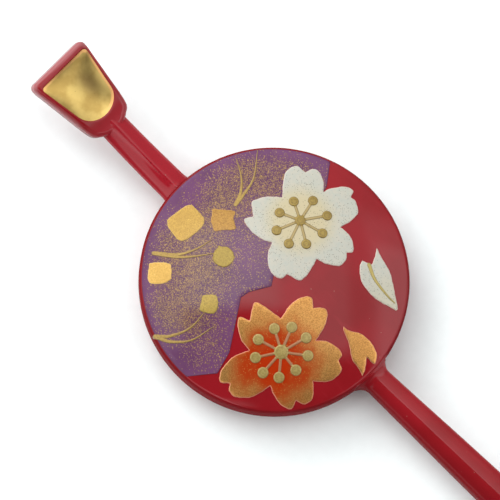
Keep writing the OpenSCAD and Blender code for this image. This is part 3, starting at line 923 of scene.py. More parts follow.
@dataclass
class LoosePetal:
    """A single petal drawn from its foot, in smooth stretches between sharp corners."""

    name: str
    foot: tuple[float, float]
    turn: float
    length: float
    half_width: float
    stretches: list[list[tuple[float, float]]]
    top: float = 0.13

    def lay_out(self, cells: Any) -> np.ndarray:
        """Turns shares along and across the petal to places on the plate."""
        along, across = self.length * spoke(self.turn), self.half_width * spoke(self.turn + 90)
        return np.array([np.array(self.foot) + a * along + w * across for a, w in cells])

    def build(self, form: PlateForm, lacquer: bpy.types.Material) -> bpy.types.Object:
        """Builds the petal.

        Args:
            form: The plate it lies on.
            lacquer: Its finish.

        Returns:
            The petal.
        """
        line = np.vstack([smooth_curve(self.lay_out(part), 8)[:-1] for part in self.stretches])
        layer = Relief(hand_cut(line, 3), self.top, round_over=0.14, pitch=0.25, middle=self.foot, reach=self.length)
        return build_layers(self.name, [layer], form, lacquer)


def blade_outline(line: np.ndarray, from_w: float, to_w: float) -> np.ndarray:
    """Gives the outline of a tapering stroke, round at its root.

    Args:
        line: The stroke's middle line, from root to tip.
        from_w: Width at the root.
        to_w: Width at the tip.

    Returns:
        The closed outline.
    """
    n = len(line)
    along = np.array([line[min(i + 1, n - 1)] - line[max(i - 1, 0)] for i in range(n)])
    along /= np.linalg.norm(along, axis=1)[:, None]
    half = (from_w + (to_w - from_w) * np.arange(n) / (n - 1))[:, None] / 2
    side = half * np.stack([-along[:, 1], along[:, 0]], 1)
    back = -along[0] * from_w / 2
    toe = [line[0] + c * back - s * side[0] for c, s in (spoke(a) for a in (45, 0, -45))]
    return np.vstack([line + side, (line - side)[::-1], toe])


@dataclass
class GoldWork:
    """The flat gold on the purple ground: cut leaf, a round spot and grass strokes."""

    radius: float = 19.0
    leaf_top: float = 0.11
    # outlines of the cut leaf in millimetres from the plate's middle
    leaves: tuple[tuple[tuple[float, float], ...], ...] = (
        ((-15.76, -0.84), (-15.22, -0.66), (-13.18, -0.88), (-12.65, -1.23), (-12.3, -1.82), (-12.31, -3.57),
         (-12.71, -5.17), (-13.24, -5.61), (-14.03, -5.61), (-15.64, -5.25), (-16.34, -4.80), (-16.57, -4.27),
         (-16.35, -2.66), (-16.06, -1.28)),
        ((-12.97, 0.85), (-11.79, 1.81), (-10.47, 2.70), (-9.90, 1.81), (-8.75, 1.04), (-8.80, 0.49), (-9.72, -0.40),
         (-10.53, -1.33), (-11.19, -1.05), (-12.0, -0.58), (-12.56, 0.27)),
        ((-14.0, -10.6), (-13.09, -9.65), (-11.94, -8.93), (-11.42, -9.1), (-10.47, -10.09), (-10.25, -10.53),
         (-10.6, -11.5), (-11.26, -12.22), (-12.01, -12.69), (-12.7, -12.5), (-13.47, -11.58), (-13.93, -10.96)),
        ((-5.39, -8.98), (-4.86, -8.38), (-4.14, -7.87), (-3.57, -8.01), (-2.96, -8.57), (-2.49, -9.32), (-2.57, -9.92),
         (-3.17, -10.47), (-3.96, -10.83), (-4.47, -10.75), (-4.94, -9.99), (-5.34, -9.33)),
    )
    dot_at: tuple[float, float] = (-0.374, -0.168)
    dot_d: float = 3.0
    # the small point at the spot's upper left: its length, direction and half width
    dot_point: tuple[float, float, float] = (0.36, 155, 6)
    blade_w: float = 0.66
    blade_tip_w: float = 0.16
    blade_top: float = 0.10
    blade_cross: float = 0.006
    grass: tuple[Any, ...] = (
        (((-0.584, 0.184), (-0.620, 0.275), (-0.700, 0.370), (-0.830, 0.455)),
         ((-0.584, 0.184), (-0.595, 0.280), (-0.632, 0.430), (-0.763, 0.616))),
        (((-0.771, -0.489), (-0.632, -0.380), (-0.560, -0.258), (-0.526, -0.132)),
         ((-0.771, -0.489), (-0.621, -0.395), (-0.521, -0.295), (-0.426, -0.172))),
        (((-0.334, -0.926), (-0.253, -0.850), (-0.187, -0.708), (-0.192, -0.535)),
         ((-0.334, -0.926), (-0.224, -0.879), (-0.118, -0.768), (-0.068, -0.590))),
    )

    def build(self, form: PlateForm, leaf_golds: list[bpy.types.Material], dot_gold: bpy.types.Material,
              grass_gold: bpy.types.Material) -> dict[str, bpy.types.Object]:
        """Builds all the gold pieces.

        Args:
            form: The plate they lie on.
            leaf_golds: One finish for each piece of leaf.
            dot_gold: The round spot's finish.
            grass_gold: The strokes' finish.

        Returns:
            Each piece by the name of the solid it stands for.
        """
        pieces: dict[str, bpy.types.Object] = {}
        for i, (corners, gold) in enumerate(zip(self.leaves, leaf_golds), 1):
            round_edge = smooth_curve([corners[-1], *corners, corners[0], corners[1]], 6)[6:-7]
            leaf = Relief(hand_cut(round_edge, i), self.leaf_top, round_over=0.1, pitch=0.25)
            pieces[f"gold_leaf_{i}"] = build_layers(f"leaf_square_{i}", [leaf], form, gold)
        length, turn, half = self.dot_point
        ring = self.radius * np.array(self.dot_at) + np.array(
            [(self.dot_d / 2 + length * math.exp(-((a - turn) / half) ** 2)) * spoke(a) for a in range(0, 360, 3)])
        spot = Relief(hand_cut(ring, 9), self.leaf_top, round_over=0.1, pitch=0.22)
        pieces["gold_dot"] = build_layers("leaf_spot", [spot], form, dot_gold)
        for i, blades in enumerate(self.grass, 1):
            lines = [smooth_curve(self.radius * np.array(blade), 10) for blade in blades]
            # the second blade crosses a hair over the first
            layers = [Relief(blade_outline(line, self.blade_w, self.blade_tip_w),
                             self.blade_top + self.blade_cross * k, round_over=0.1, pitch=0.16)
                      for k, line in enumerate(lines)]
            pieces[f"grass_spray_{i}"] = build_layers(f"grass_strokes_{i}", layers, form, grass_gold)
        return pieces


@dataclass
class PurpleGround:
    """The purple ground on the head side of the plate, with its band of gold powder."""

    radius: float = 19.0
    margin: float = 0.36
    top: float = 0.05
    # the powder: how thin it is far from the drifts and at the rim, and how it fades there
    thin: float = 0.12
    rim_share: float = 0.2
    bare_w: float = 0.6
    fade_w: float = 1.8
    edge: tuple[tuple[float, float], ...] = (
        (-0.330, 0.950), (-0.200, 0.762), (-0.008, -0.022), (0.033, -0.086), (-0.056, -0.232),
        (-0.071, -0.300), (0.147, -0.645), (0.188, -0.812), (0.045, -0.973),
    )
    # thick places of the powder: x, y, radius and strength, in millimetres
    drifts: tuple[tuple[float, float, float, float], ...] = (
        (-13.0, 8.0, 4.0, 0.75), (-12.5, 3.0, 3.4, 1.0), (-11.5, -2.5, 3.2, 1.0), (-9.5, -6.5, 3.4, 1.0),
        (-7.0, -10.5, 3.6, 0.95), (-4.0, -12.5, 3.0, 0.75), (0.5, -14.0, 2.4, 0.35), (-8.5, 8.5, 3.4, 0.6),
        (-12.5, 12.5, 3.0, 0.3), (-6.5, -5.0, 3.0, 0.6), (-9.0, 13.0, 3.0, 0.2), (-12.5, -10.5, 3.0, 0.5),
        (-8.0, -14.8, 2.6, 0.9), (-4.0, 3.0, 4.0, 0.3), (-5.0, 12.5, 3.5, 0.3), (-14.0, -6.0, 2.6, 0.7),
    )

    def dust(self, plan: np.ndarray) -> np.ndarray:
        """Gives how thick the gold powder lies.

        Args:
            plan: Places on the ground.

        Returns:
            Shares from 0 to 1.
        """
        thick = np.full(len(plan), self.thin)
        for x, y, size, strength in self.drifts:
            gap = np.linalg.norm(plan - np.array([x, y]), axis=1) / size
            thick = np.maximum(thick, 0) + strength * np.exp(-gap ** 2) * (1 - thick)
        fade = np.clip((self.radius - self.bare_w - np.linalg.norm(plan, axis=1)) / self.fade_w, 0, 1)
        return np.clip(thick, 0, 1) * (self.rim_share + (1 - self.rim_share) * fade)

    def build(self, form: PlateForm, lacquer: bpy.types.Material) -> bpy.types.Object:
        """Builds the ground.

        Args:
            form: The plate it lies on.
            lacquer: Its finish.

        Returns:
            The ground.
        """
        across = even_steps(self.radius * np.array(self.edge), 0.4, closed=False)
        limit = self.radius - self.margin
        across = across[np.linalg.norm(across, axis=1) < limit]
        end, start = np.degrees(np.arctan2(across[[0, -1], 1], across[[0, -1], 0]))
        rim = np.array([limit * spoke(a) for a in np.linspace(start, end - 360, 160)])
        layer = Relief(np.vstack([across, rim]), self.top, round_over=0.06, pitch=0.5)
        return build_layers("purple_ground", [layer], form, lacquer, {"dust": self.dust})


def roofed(mid: Any, w: float, h: float, slope: float, lean: float = 0.0, power: float = 3.0, soft: float = 0.05,
           count: int = 48) -> np.ndarray:
    """Gives one closed section of the stick: two flanks, a soft ridge and round sides.

    Args:
        mid: Middle of the section.
        w: Width along Y.
        h: Thickness.
        slope: How far the flanks fall, as a share of the half thickness.
        lean: Angle at which the section leans back, in degrees.
        power: How flat the flanks are and how tight the sides' rounding is.
        soft: Width of the ridge's rounding, as a share of the half width.
        count: Number of points on each half.

    Returns:
        The ring of points.
    """
    y = np.cos(np.pi * np.arange(count) / count)
    z = (1 - np.abs(y) ** power) ** (1 / power) * (1 - slope * (np.sqrt(y * y + soft * soft) - soft))
    y, z = w / 2 * np.concatenate([y, -y]), h / 2 * np.concatenate([z, -z])
    back = math.radians(lean)
    return np.asarray(mid, float) + np.stack([z * math.sin(back), y, z * math.cos(back)], 1)


@dataclass
class Stem:
    """Scoop head and neck, carved in one, with the gilt hollow."""

    plate_r: float = 19.0
    stick_z: float = 3.5
    neck_w: float = 4.2
    neck_root_w: float = 4.5
    neck_h: float = 3.3
    neck_l: float = 12.4
    length: float = 12.2
    width: float = 9.9
    thick: float = 3.2
    turn: float = 0.3
    lift: float = 15.0
    roof: float = 0.54
    # the neck's tongue on the head: its length, and what it loses on the way in width,
    # in thickness and in its roof, as shares
    tongue: float = 1.5
    tongue_loss: tuple[float, float, float] = (0.4, 0.14, 0.5)
    root_swell: float = 0.16
    root_swell_l: float = 0.45
    end_land: float = 1.15
    side_land: float = 0.58
    neck_land: float = 2.2
    round_w: float = 6.5
    round_share: float = 0.44
    hollow_shift: float = 0.15
    corner_r: float = 0.5
    depth: float = 1.1
    bowl_share: float = 0.75
    edge_round: float = 0.8
    far_corner: float = 0.85
    end_wear: float = 0.085
    end_wear_l: float = 2.0
    neck_dip: float = 0.14
    neck_dip_l: float = 2.9
    gilt_lift: float = 0.06
    # how far the gilding's edge runs out over the lip, and how far up from the wood
    gilt_edge: tuple[float, float] = (0.015, 0.012)
    sink: float = 1.3
    middle: tuple[float, float] = (-6.6, 0.08)
    # the hollow's painted dark reflection, a brown patch: its middle, and how far it reaches along and across
    dark_reflection_at: tuple[float, float, float] = (-6.7, 1.55, 0.0)
    dark_reflection_r: tuple[float, float] = (1.8, 1.2)
    # rounding of the hollow's lip: distance out from it, and drop below the top
    lip_round: tuple[tuple[float, float], ...] = ((0.0, 0.11), (0.03, 0.065), (0.07, 0.03), (0.12, 0.01))
    lip_end: float = 0.16
    # the lip's painted highlight, where light catches it: rings from its edge, from y = 0 up, and along the head
    lit_rings: int = 5
    lit_side: tuple[float, float] = (0.0, 1.5)
    lit_end: tuple[float, float] = (9.6, 10.4)
    # the brighter neck, and the head's pale painted highlight, each as the places where it begins and where it is full
    bright_neck: tuple[float, float] = (-2.6, 0.8)
    highlight_far: tuple[float, float] = (-1.3, -0.6)
    highlight_low: tuple[float, float] = (2.6, 3.2)
    highlight_low_x: tuple[float, float] = (2.0, 4.0)
    highlight_neck: tuple[float, float] = (-3.4, -2.0)
    highlight_inset: tuple[float, float] = (0.40, 0.75)
    highlight_most: tuple[float, float] = (0.7, 0.25)
    # small chips on the ridge: their middle, how far they reach, and how many at most
    chips_at: tuple[float, float] = (-20.5, -0.1)
    chips_r: tuple[float, float] = (3.5, 0.22)
    chips_most: float = 0.75
    skin_step: float = 0.1
    skin_rounds: int = 1500
    count: int = 240
    # half widths of the head as shares of its half width, by place from the flat end
    sides: tuple[tuple[float, float], ...] = (
        (0.1, 1.0), (0.19, 0.965), (0.36, 0.905), (0.53, 0.845), (0.70, 0.785), (0.82, 0.735), (0.90, 0.69),
        (0.945, 0.62), (0.975, 0.51), (1.0, 0.42), (1.03, 0.25), (1.045, 0.0),
    )

    @property
    def bend_r(self) -> float:
        """Radius of the neck's upward bend."""
        return self.neck_l / math.sin(math.radians(self.lift))

    @property
    def shoulder(self) -> np.ndarray:
        """Where the neck ends and the head begins, before the turn in plan."""
        return np.array([-self.plate_r - self.neck_l, 0, self.stick_z + self.bend_r * (1 - spoke(self.lift)[0])])

    def to_part(self, points: np.ndarray) -> np.ndarray:
        """Moves points from the head's own frame to the part's frame.

        Args:
            points: Points of the head laid level, with its neck end at the origin.

        Returns:
            The same points on the end of the neck.
        """
        c, s = spoke(self.lift)
        x, y, z = points.T
        return self.turned(np.stack([x * c + z * s, y, -x * s + z * c], 1) + self.shoulder)

    def turned(self, points: np.ndarray) -> np.ndarray:
        """Turns points in plan about the plate's middle, as the stem is."""
        c, s = spoke(-self.turn)
        return np.stack([points[:, 0] * c - points[:, 1] * s, points[:, 0] * s + points[:, 1] * c, points[:, 2]], 1)

    def head_outline(self) -> np.ndarray:
        """Draws the head in plan.

        Returns:
            The outline, counter-clockwise and evenly spaced.
        """
        half, r = self.width / 2, self.far_corner
        corner = [np.array([-self.length + r, half - r]) + r * spoke(a) for a in np.linspace(180, 100, 9)]
        side = smooth_curve([(-self.length * (1 - s), half * w) for s, w in self.sides], 6)
        upper = np.vstack([[[-self.length, 0.0]], corner, side[1:]])
        ring = np.vstack([upper, upper[::-1][1:-1] * np.array([1, -1])])
        run = np.linalg.norm(np.roll(ring, -1, axis=0) - ring, axis=1)
        reach = np.concatenate([[0], np.cumsum(run)])
        closed = np.vstack([ring, ring[:1]])
        at = np.linspace(0, reach[-1], self.count, endpoint=False)
        return np.stack([np.interp(at, reach, closed[:, 0]), np.interp(at, reach, closed[:, 1])], 1)[::-1]

    def hollow_outline(self) -> np.ndarray:
        """Draws the hollow in plan, with two far corners and a round near end.

        Returns:
            The closed outline.
        """
        far_x = -(self.length - self.end_land)
        far_w = self.width / 2 - self.side_land
        round_w, round_l = self.round_w / 2, self.round_share * self.round_w
        mid_x = -self.neck_land - round_l
        slope = (far_w - round_w) / (mid_x - far_x)
        side = math.degrees(math.atan(slope))
        lean = math.degrees(math.atan(slope * round_l / round_w))
        r = self.corner_r
        corner = np.array([far_x + r, far_w - r * slope - r / math.cos(math.radians(side))])
        rows = [corner + r * spoke(a) for a in np.linspace(90 - side, 180, 9)]
        rows += [corner * np.array([1, -1]) + r * spoke(a) for a in np.linspace(180, 270 + side, 9)]
        near = (spoke(a) for a in np.linspace(180 - lean, lean, 48))
        rows += [np.array([mid_x + round_l * s, round_w * c]) for c, s in near]
        return np.array(rows) + np.array([0, self.hollow_shift])

    def bowl_depth(self, plan: np.ndarray, lip: np.ndarray) -> np.ndarray:
        """Gives the bowl's shape, smooth all over as a skin that sags from its lip.

        Args:
            plan: Places in the hollow.
            lip: The hollow's outline.

        Returns:
            Shares of the full depth, 0 at the lip.
        """
        low, high = lip.min(0) - 0.2, lip.max(0) + 0.2
        xs, ys = np.arange(low[0], high[0], self.skin_step), np.arange(low[1], high[1], self.skin_step)
        grid = np.array([(x, y) for x in xs for y in ys])
        inside = is_inside(grid, lip).reshape(len(xs), len(ys))
        sag = np.zeros(inside.shape)
        for _ in range(self.skin_rounds):
            near = np.roll(sag, 1, 0) + np.roll(sag, -1, 0) + np.roll(sag, 1, 1) + np.roll(sag, -1, 1)
            sag = np.where(inside, near / 4 + 0.001, 0.0)
        sag /= sag.max()
        u = np.clip((plan - low) / self.skin_step, 0, np.array(sag.shape) - 1.001)
        i, f = u.astype(int), u - u.astype(int)
        return np.sum([sag[i[:, 0] + a, i[:, 1] + b] * np.abs(1 - a - f[:, 0]) * np.abs(1 - b - f[:, 1])
                       for a in (0, 1) for b in (0, 1)], axis=0)

    @staticmethod
    def powers(plan: np.ndarray) -> np.ndarray:
        """Gives the terms of a smooth surface at each place."""
        return np.column_stack([np.ones(len(plan)), plan, plan[:, 0] ** 2])

    @staticmethod
    def along_rays(middle: np.ndarray, towards: np.ndarray, outline: np.ndarray) -> np.ndarray:
        """Finds where rays from a middle through given points cross an outline.

        Args:
            middle: Where the rays start.
            towards: One point on each ray.
            outline: The closed outline, seen whole from the middle.

        Returns:
            One crossing per ray.
        """
        run = np.roll(outline, -1, axis=0) - outline
        gap = outline - middle
        found = []
        for d in towards - middle:
            cross = d[0] * run[:, 1] - d[1] * run[:, 0]
            with np.errstate(divide="ignore", invalid="ignore"):
                t = (gap[:, 0] * run[:, 1] - gap[:, 1] * run[:, 0]) / cross
                u = (gap[:, 0] * d[1] - gap[:, 1] * d[0]) / cross
            found.append(middle + d * t[(t > 0) & (u >= -1e-9) & (u <= 1 + 1e-9)].min())
        return np.array(found)

    def land(self, plan: np.ndarray, inset: np.ndarray) -> np.ndarray:
        """Gives the height of the head's top, rounded at its edge and lower by the neck.

        Args:
            plan: Places on the head.
            inset: How far in from the head's outline each lies.

        Returns:
            Heights over the head's middle plane.
        """
        e = self.edge_round
        top = self.thick / 2 - e + np.sqrt(np.maximum(e * e - (e - np.minimum(inset, e)) ** 2, 0))
        near = np.clip(1 + plan[:, 0] / self.neck_dip_l, 0, 1)
        far = np.clip(1 - (plan[:, 0] + self.length) / self.end_wear_l, 0, 1)
        return top - self.neck_dip * near * near * (3 - 2 * near) - self.end_wear * far

    def head_rings(self) -> tuple[list[np.ndarray], list[np.ndarray]]:
        """Lays rings over the head from the hollow's middle round to the underside.

        Returns:
            The gilding's rings, and the wood's rings, both in the part's frame.
        """
        rim = self.head_outline()
        middle = np.array(self.middle)
        lip = self.along_rays(middle, rim, self.hollow_outline())
        lip_mid = np.array([-(self.length - self.end_land + self.neck_land) / 2, self.hollow_shift])
        out = (rim - lip) / np.linalg.norm(rim - lip, axis=1)[:, None]

        def on_top(plan: np.ndarray, drop: float = 0.0) -> np.ndarray:
            """Lays a ring on the head's top, or a little below it."""
            return np.column_stack([plan, self.land(plan, distance_to(plan, rim)) - drop])

        lip_z = on_top(lip + out * self.lip_round[-1][0], self.lip_round[0][1])[:, 2]
        shares = [0.004, *np.linspace(0.05, 0.9, 18), 0.935, 0.965, 0.985, 1.0]
        plans = [lip_mid + share * (lip - lip_mid) for share in shares]
        sags = np.split(self.bowl_depth(np.vstack(plans), lip), len(shares))
        # the bowl hangs from a smooth surface laid through its lip
        fit = np.linalg.lstsq(self.powers(lip), lip_z, rcond=None)[0]
        left = lip_z - self.powers(lip) @ fit
        deep = self.bowl_share * self.depth
        gilt = [np.column_stack([plan, self.powers(plan) @ fit + left * share ** 6 - deep * sag])
                for share, plan, sag in zip(shares, plans, sags)]
        wood = [ring - np.array([0, 0, self.gilt_lift]) for ring in gilt]
        wood += [on_top(lip + out * d, drop) for d, drop in self.lip_round]
        over, up = self.gilt_edge
        gilt.append(np.column_stack([lip + out * over, wood[len(gilt)][:, 2] + up]))
        start = lip + out * self.lip_end
        wood += [on_top(start + (rim - start) * t) for t in (*np.linspace(0, 0.88, 18), 0.92, 0.95, 0.975, 0.99)]
        e, side_z = self.edge_round, self.thick / 2 - self.edge_round
        edge_z = self.land(rim, np.zeros(len(rim)))
        wood += [np.column_stack([rim, z]) for z in (edge_z, edge_z * 0.4, edge_z * -0.4, np.full(len(rim), -side_z))]
        inward = (middle - rim) / np.linalg.norm(middle - rim, axis=1)[:, None]
        wood += [np.column_stack([rim + inward * (e * (1 - c)), np.full(len(rim), -side_z - e * s)])
                 for c, s in (spoke(a) for a in (15, 30, 45, 60, 75, 90))]
        last = wood[-1]
        wood += [np.column_stack([middle + (last[:, :2] - middle) * s, last[:, 2]]) for s in (0.75, 0.45, 0.15)]
        return [self.to_part(ring) for ring in gilt], [self.to_part(ring) for ring in wood]

    def neck_rings(self) -> list[np.ndarray]:
        """Lays sections along the neck, from its round tongue on the head to the plate.

        Returns:
            The sections in the part's frame.
        """
        rings = []
        c, s = spoke(self.lift)
        narrower, thinner, flatter = self.tongue_loss
        for share in (1.06, *np.linspace(1, 0.1, 12)):
            # the tongue narrows and sinks until it is lost in the head's top
            w = self.neck_w * (1 - narrower * share ** 2) if share <= 1 else 0.1
            h = self.neck_h * (1 - thinner * share ** 2) if share <= 1 else 0.1
            mid = self.shoulder + self.tongue * share * np.array([-c, 0, s])
            rings.append(roofed(mid, w, h, self.roof * (1 - flatter * min(share, 1)), self.lift))
        for share in np.linspace(1, 0, 40):
            lean = math.degrees(math.asin(share * s))
            mid = [-(self.plate_r + share * self.neck_l), 0, self.stick_z + self.bend_r * (1 - spoke(lean)[0])]
            # it swells a little where it meets the plate
            swell = self.root_swell * math.exp(-(share * self.neck_l / self.root_swell_l) ** 2)
            w = self.neck_root_w + (self.neck_w - self.neck_root_w) * share
            rings.append(roofed(mid, w + swell, self.neck_h + swell, self.roof, lean))
        rings.append(roofed([-(self.plate_r - self.sink), 0, self.stick_z], self.neck_root_w, self.neck_h, self.roof))
        return [self.turned(ring) for ring in rings]

    def rubbed(self, head: np.ndarray) -> np.ndarray:
        """Gives where the head gets its pale painted highlight: its far edge most, its lower side and neck end less.

        Args:
            head: The head's points, ring after ring.

        Returns:
            Shares from 0 to 1.
        """
        rim = self.head_outline()
        low_most, neck_most = self.highlight_most
        far = np.interp(-rim[:, 0] - self.length, self.highlight_far, (0, 1))
        low = low_most * np.interp(-rim[:, 1], self.highlight_low, (0, 1)) * np.interp(-rim[:, 0], self.highlight_low_x, (0, 1))
        at = np.arange(len(head)) % len(rim)
        side, outer = np.maximum(far, low)[at], rim[at]
        # undo the lift to measure how far in from the rim each point lies
        c, s = spoke(self.lift)
        x, y, z = (head - self.shoulder).T
        inset = np.hypot(x * c - z * s - outer[:, 0], y - outer[:, 1])
        near = neck_most * np.interp(x, self.highlight_neck, (0, 1))
        return np.maximum(side * np.interp(inset, self.highlight_inset, (1, 0)), near) * (x * s + z * c > 0.2)

    def build(self, lacquer: bpy.types.Material, gilding: bpy.types.Material) -> list[bpy.types.Object]:
        """Builds the stem and the gilding in its hollow.

        Args:
            lacquer: The wood's finish.
            gilding: The hollow's finish.

        Returns:
            The stem and the gilding.
        """
        gilt, wood = self.head_rings()
        head_v, head_f = loft(wood)
        neck_v, neck_f = loft(self.neck_rings())
        faces = head_f + [tuple(i + len(head_v) for i in f) for f in neck_f]
        verts = np.vstack([head_v, neck_v])
        bright_neck = np.interp(verts[:, 0] + self.plate_r + self.neck_l, self.bright_neck, (0, 1))
        gap = (verts[:, :2] - self.chips_at) / self.chips_r
        chips = self.chips_most * np.exp(-(gap ** 2).sum(1)) * bright_neck * (verts[:, 2] > self.stick_z + 0.8)
        # the pale painted highlight on the head's edges
        rubbed = np.concatenate([self.rubbed(head_v), np.zeros(len(neck_v))])
        marks = {"bright_neck": bright_neck, "chips": chips, "rubbed": rubbed}
        stem = make_piece("scoop_and_neck", verts, faces, lacquer, marks)
        gilt_v, gilt_f = loft(gilt, close_ends=False)
        # a painted dark reflection round one place in the hollow
        dark_reflection_at = self.to_part(np.array([self.dark_reflection_at]))[0]
        gap = (gilt_v - dark_reflection_at)[:, :2] / self.dark_reflection_r
        # painted highlight where light catches the lip's last rings along its upper side and far end
        at_lip = np.arange(len(gilt_v)) >= len(gilt_v) - self.lit_rings * self.count
        far = np.interp(-gilt_v[:, 0] - self.plate_r - self.neck_l, self.lit_end, (0, 1))
        lit = np.minimum(np.interp(gilt_v[:, 1], self.lit_side, (0, 1)) + far, 1)
        marks = {"wear_and_dark_reflection": np.exp(-(gap ** 2).sum(1)), "lip": at_lip * lit}
        return [stem, make_piece("gilt_hollow", gilt_v, [face[::-1] for face in gilt_f], gilding, marks)]


@dataclass
class Pin:
    """The long tapering leg, with a soft ridge and a hollow fillet at its root."""

    plate_r: float = 19.0
    stick_z: float = 3.5
    length: float = 102.7
    width: float = 5.3
    thick: float = 4.0
    roof: float = 0.29
    fillet_r: float = 1.4
    tip_l: float = 3.0
    fillet_up: float = 0.55
    fillet_flat: float = 0.6
    sink: float = 1.3
    # how dull the lower side is and how dark its painted shade, and where that begins and is full, in half widths
    dull_shaded_side: float = 0.75
    dull_shaded_from: tuple[float, float] = (0.05, 0.60)
    # place along the pin, width and thickness as shares
    sizes: tuple[tuple[float, float, float], ...] = (
        (0.00, 0.74, 0.84), (0.06, 0.79, 0.88), (0.14, 0.87, 0.93), (0.21, 0.93, 0.97), (0.29, 0.98, 1.00),
        (0.37, 1.00, 1.00), (0.54, 0.95, 0.97), (0.70, 0.83, 0.86), (0.84, 0.67, 0.72), (1.00, 0.44, 0.52),
    )

    def size_at(self, d: float) -> tuple[float, float]:
        """Gives the pin's size at one place.

        Args:
            d: Distance from the plate's rim.

        Returns:
            Width and thickness.
        """
        table = smooth_curve(self.sizes, 6)
        share = max(d, 0) / self.length
        return (self.width * float(np.interp(share, table[:, 0], table[:, 1])),
                self.thick * float(np.interp(share, table[:, 0], table[:, 2])))

    def slice(self, d: float, w: float, h: float, ridge: float = 1.0) -> np.ndarray:
        """Gives one section of the pin at a distance from the plate's rim."""
        return roofed([self.plate_r + d, 0, self.stick_z], w, h, self.roof * ridge, power=5.0, soft=0.12)

    def build(self, lacquer: bpy.types.Material) -> bpy.types.Object:
        """Builds the pin.

        Args:
            lacquer: Its finish.

        Returns:
            The pin.
        """
        rings = []
        r = self.fillet_r
        for d in (-self.sink, *(r * np.linspace(0.03, 1, 14) ** 1.4)):
            flare = r * (1 - math.sqrt(max(1 - (1 - min(max(d, 0.03 * r), r) / r) ** 2, 0)))
            w, h = self.size_at(d)
            ring = self.slice(d, w + 2 * flare, h + 2 * self.fillet_up * flare, 1 - self.fillet_flat * flare / r)
            # the fillet follows the round rim
            ring[:, 0] -= (self.plate_r - np.sqrt(self.plate_r ** 2 - ring[:, 1] ** 2)) * (1 - max(d, 0) / r) ** 2
            rings.append(ring)
        body_l = self.length - self.tip_l
        rings += [self.slice(d, *self.size_at(d)) for d in np.linspace(r, body_l, 90)[1:]]
        for c, s in (spoke(a) for a in np.linspace(8, 87, 12)):
            d = body_l + self.tip_l * s
            w, h = self.size_at(d)
            rings.append(self.slice(d, w * c, h * c))
        verts, faces = loft(rings)
        # painted shade and a duller coat along the pin's lower side
        low = np.interp(-verts[:, 1] / (self.width / 2), self.dull_shaded_from, (0, 1))
        return make_piece("pin_leg", verts, faces, lacquer, {"rim": self.dull_shaded_side * low})


@dataclass(frozen=True)
class SkyPatch:
    """A patch of the studio's tent with a glow of its own and soft edges.

    Its limits are given on a ceiling one metre up, to the right and down as the
    camera sees them. A limit left open runs on to the table's edge.
    """

    glow: float
    soft: float
    right: tuple[float | None, float | None] = (None, None)
    down: tuple[float | None, float | None] = (None, None)


@dataclass(frozen=True)
class SoftLight:
    """A square light: its place as the camera sees it, its sides and its face's glow."""

    name: str
    place: tuple[float, float, float]
    sides: tuple[float, float]
    glow: float


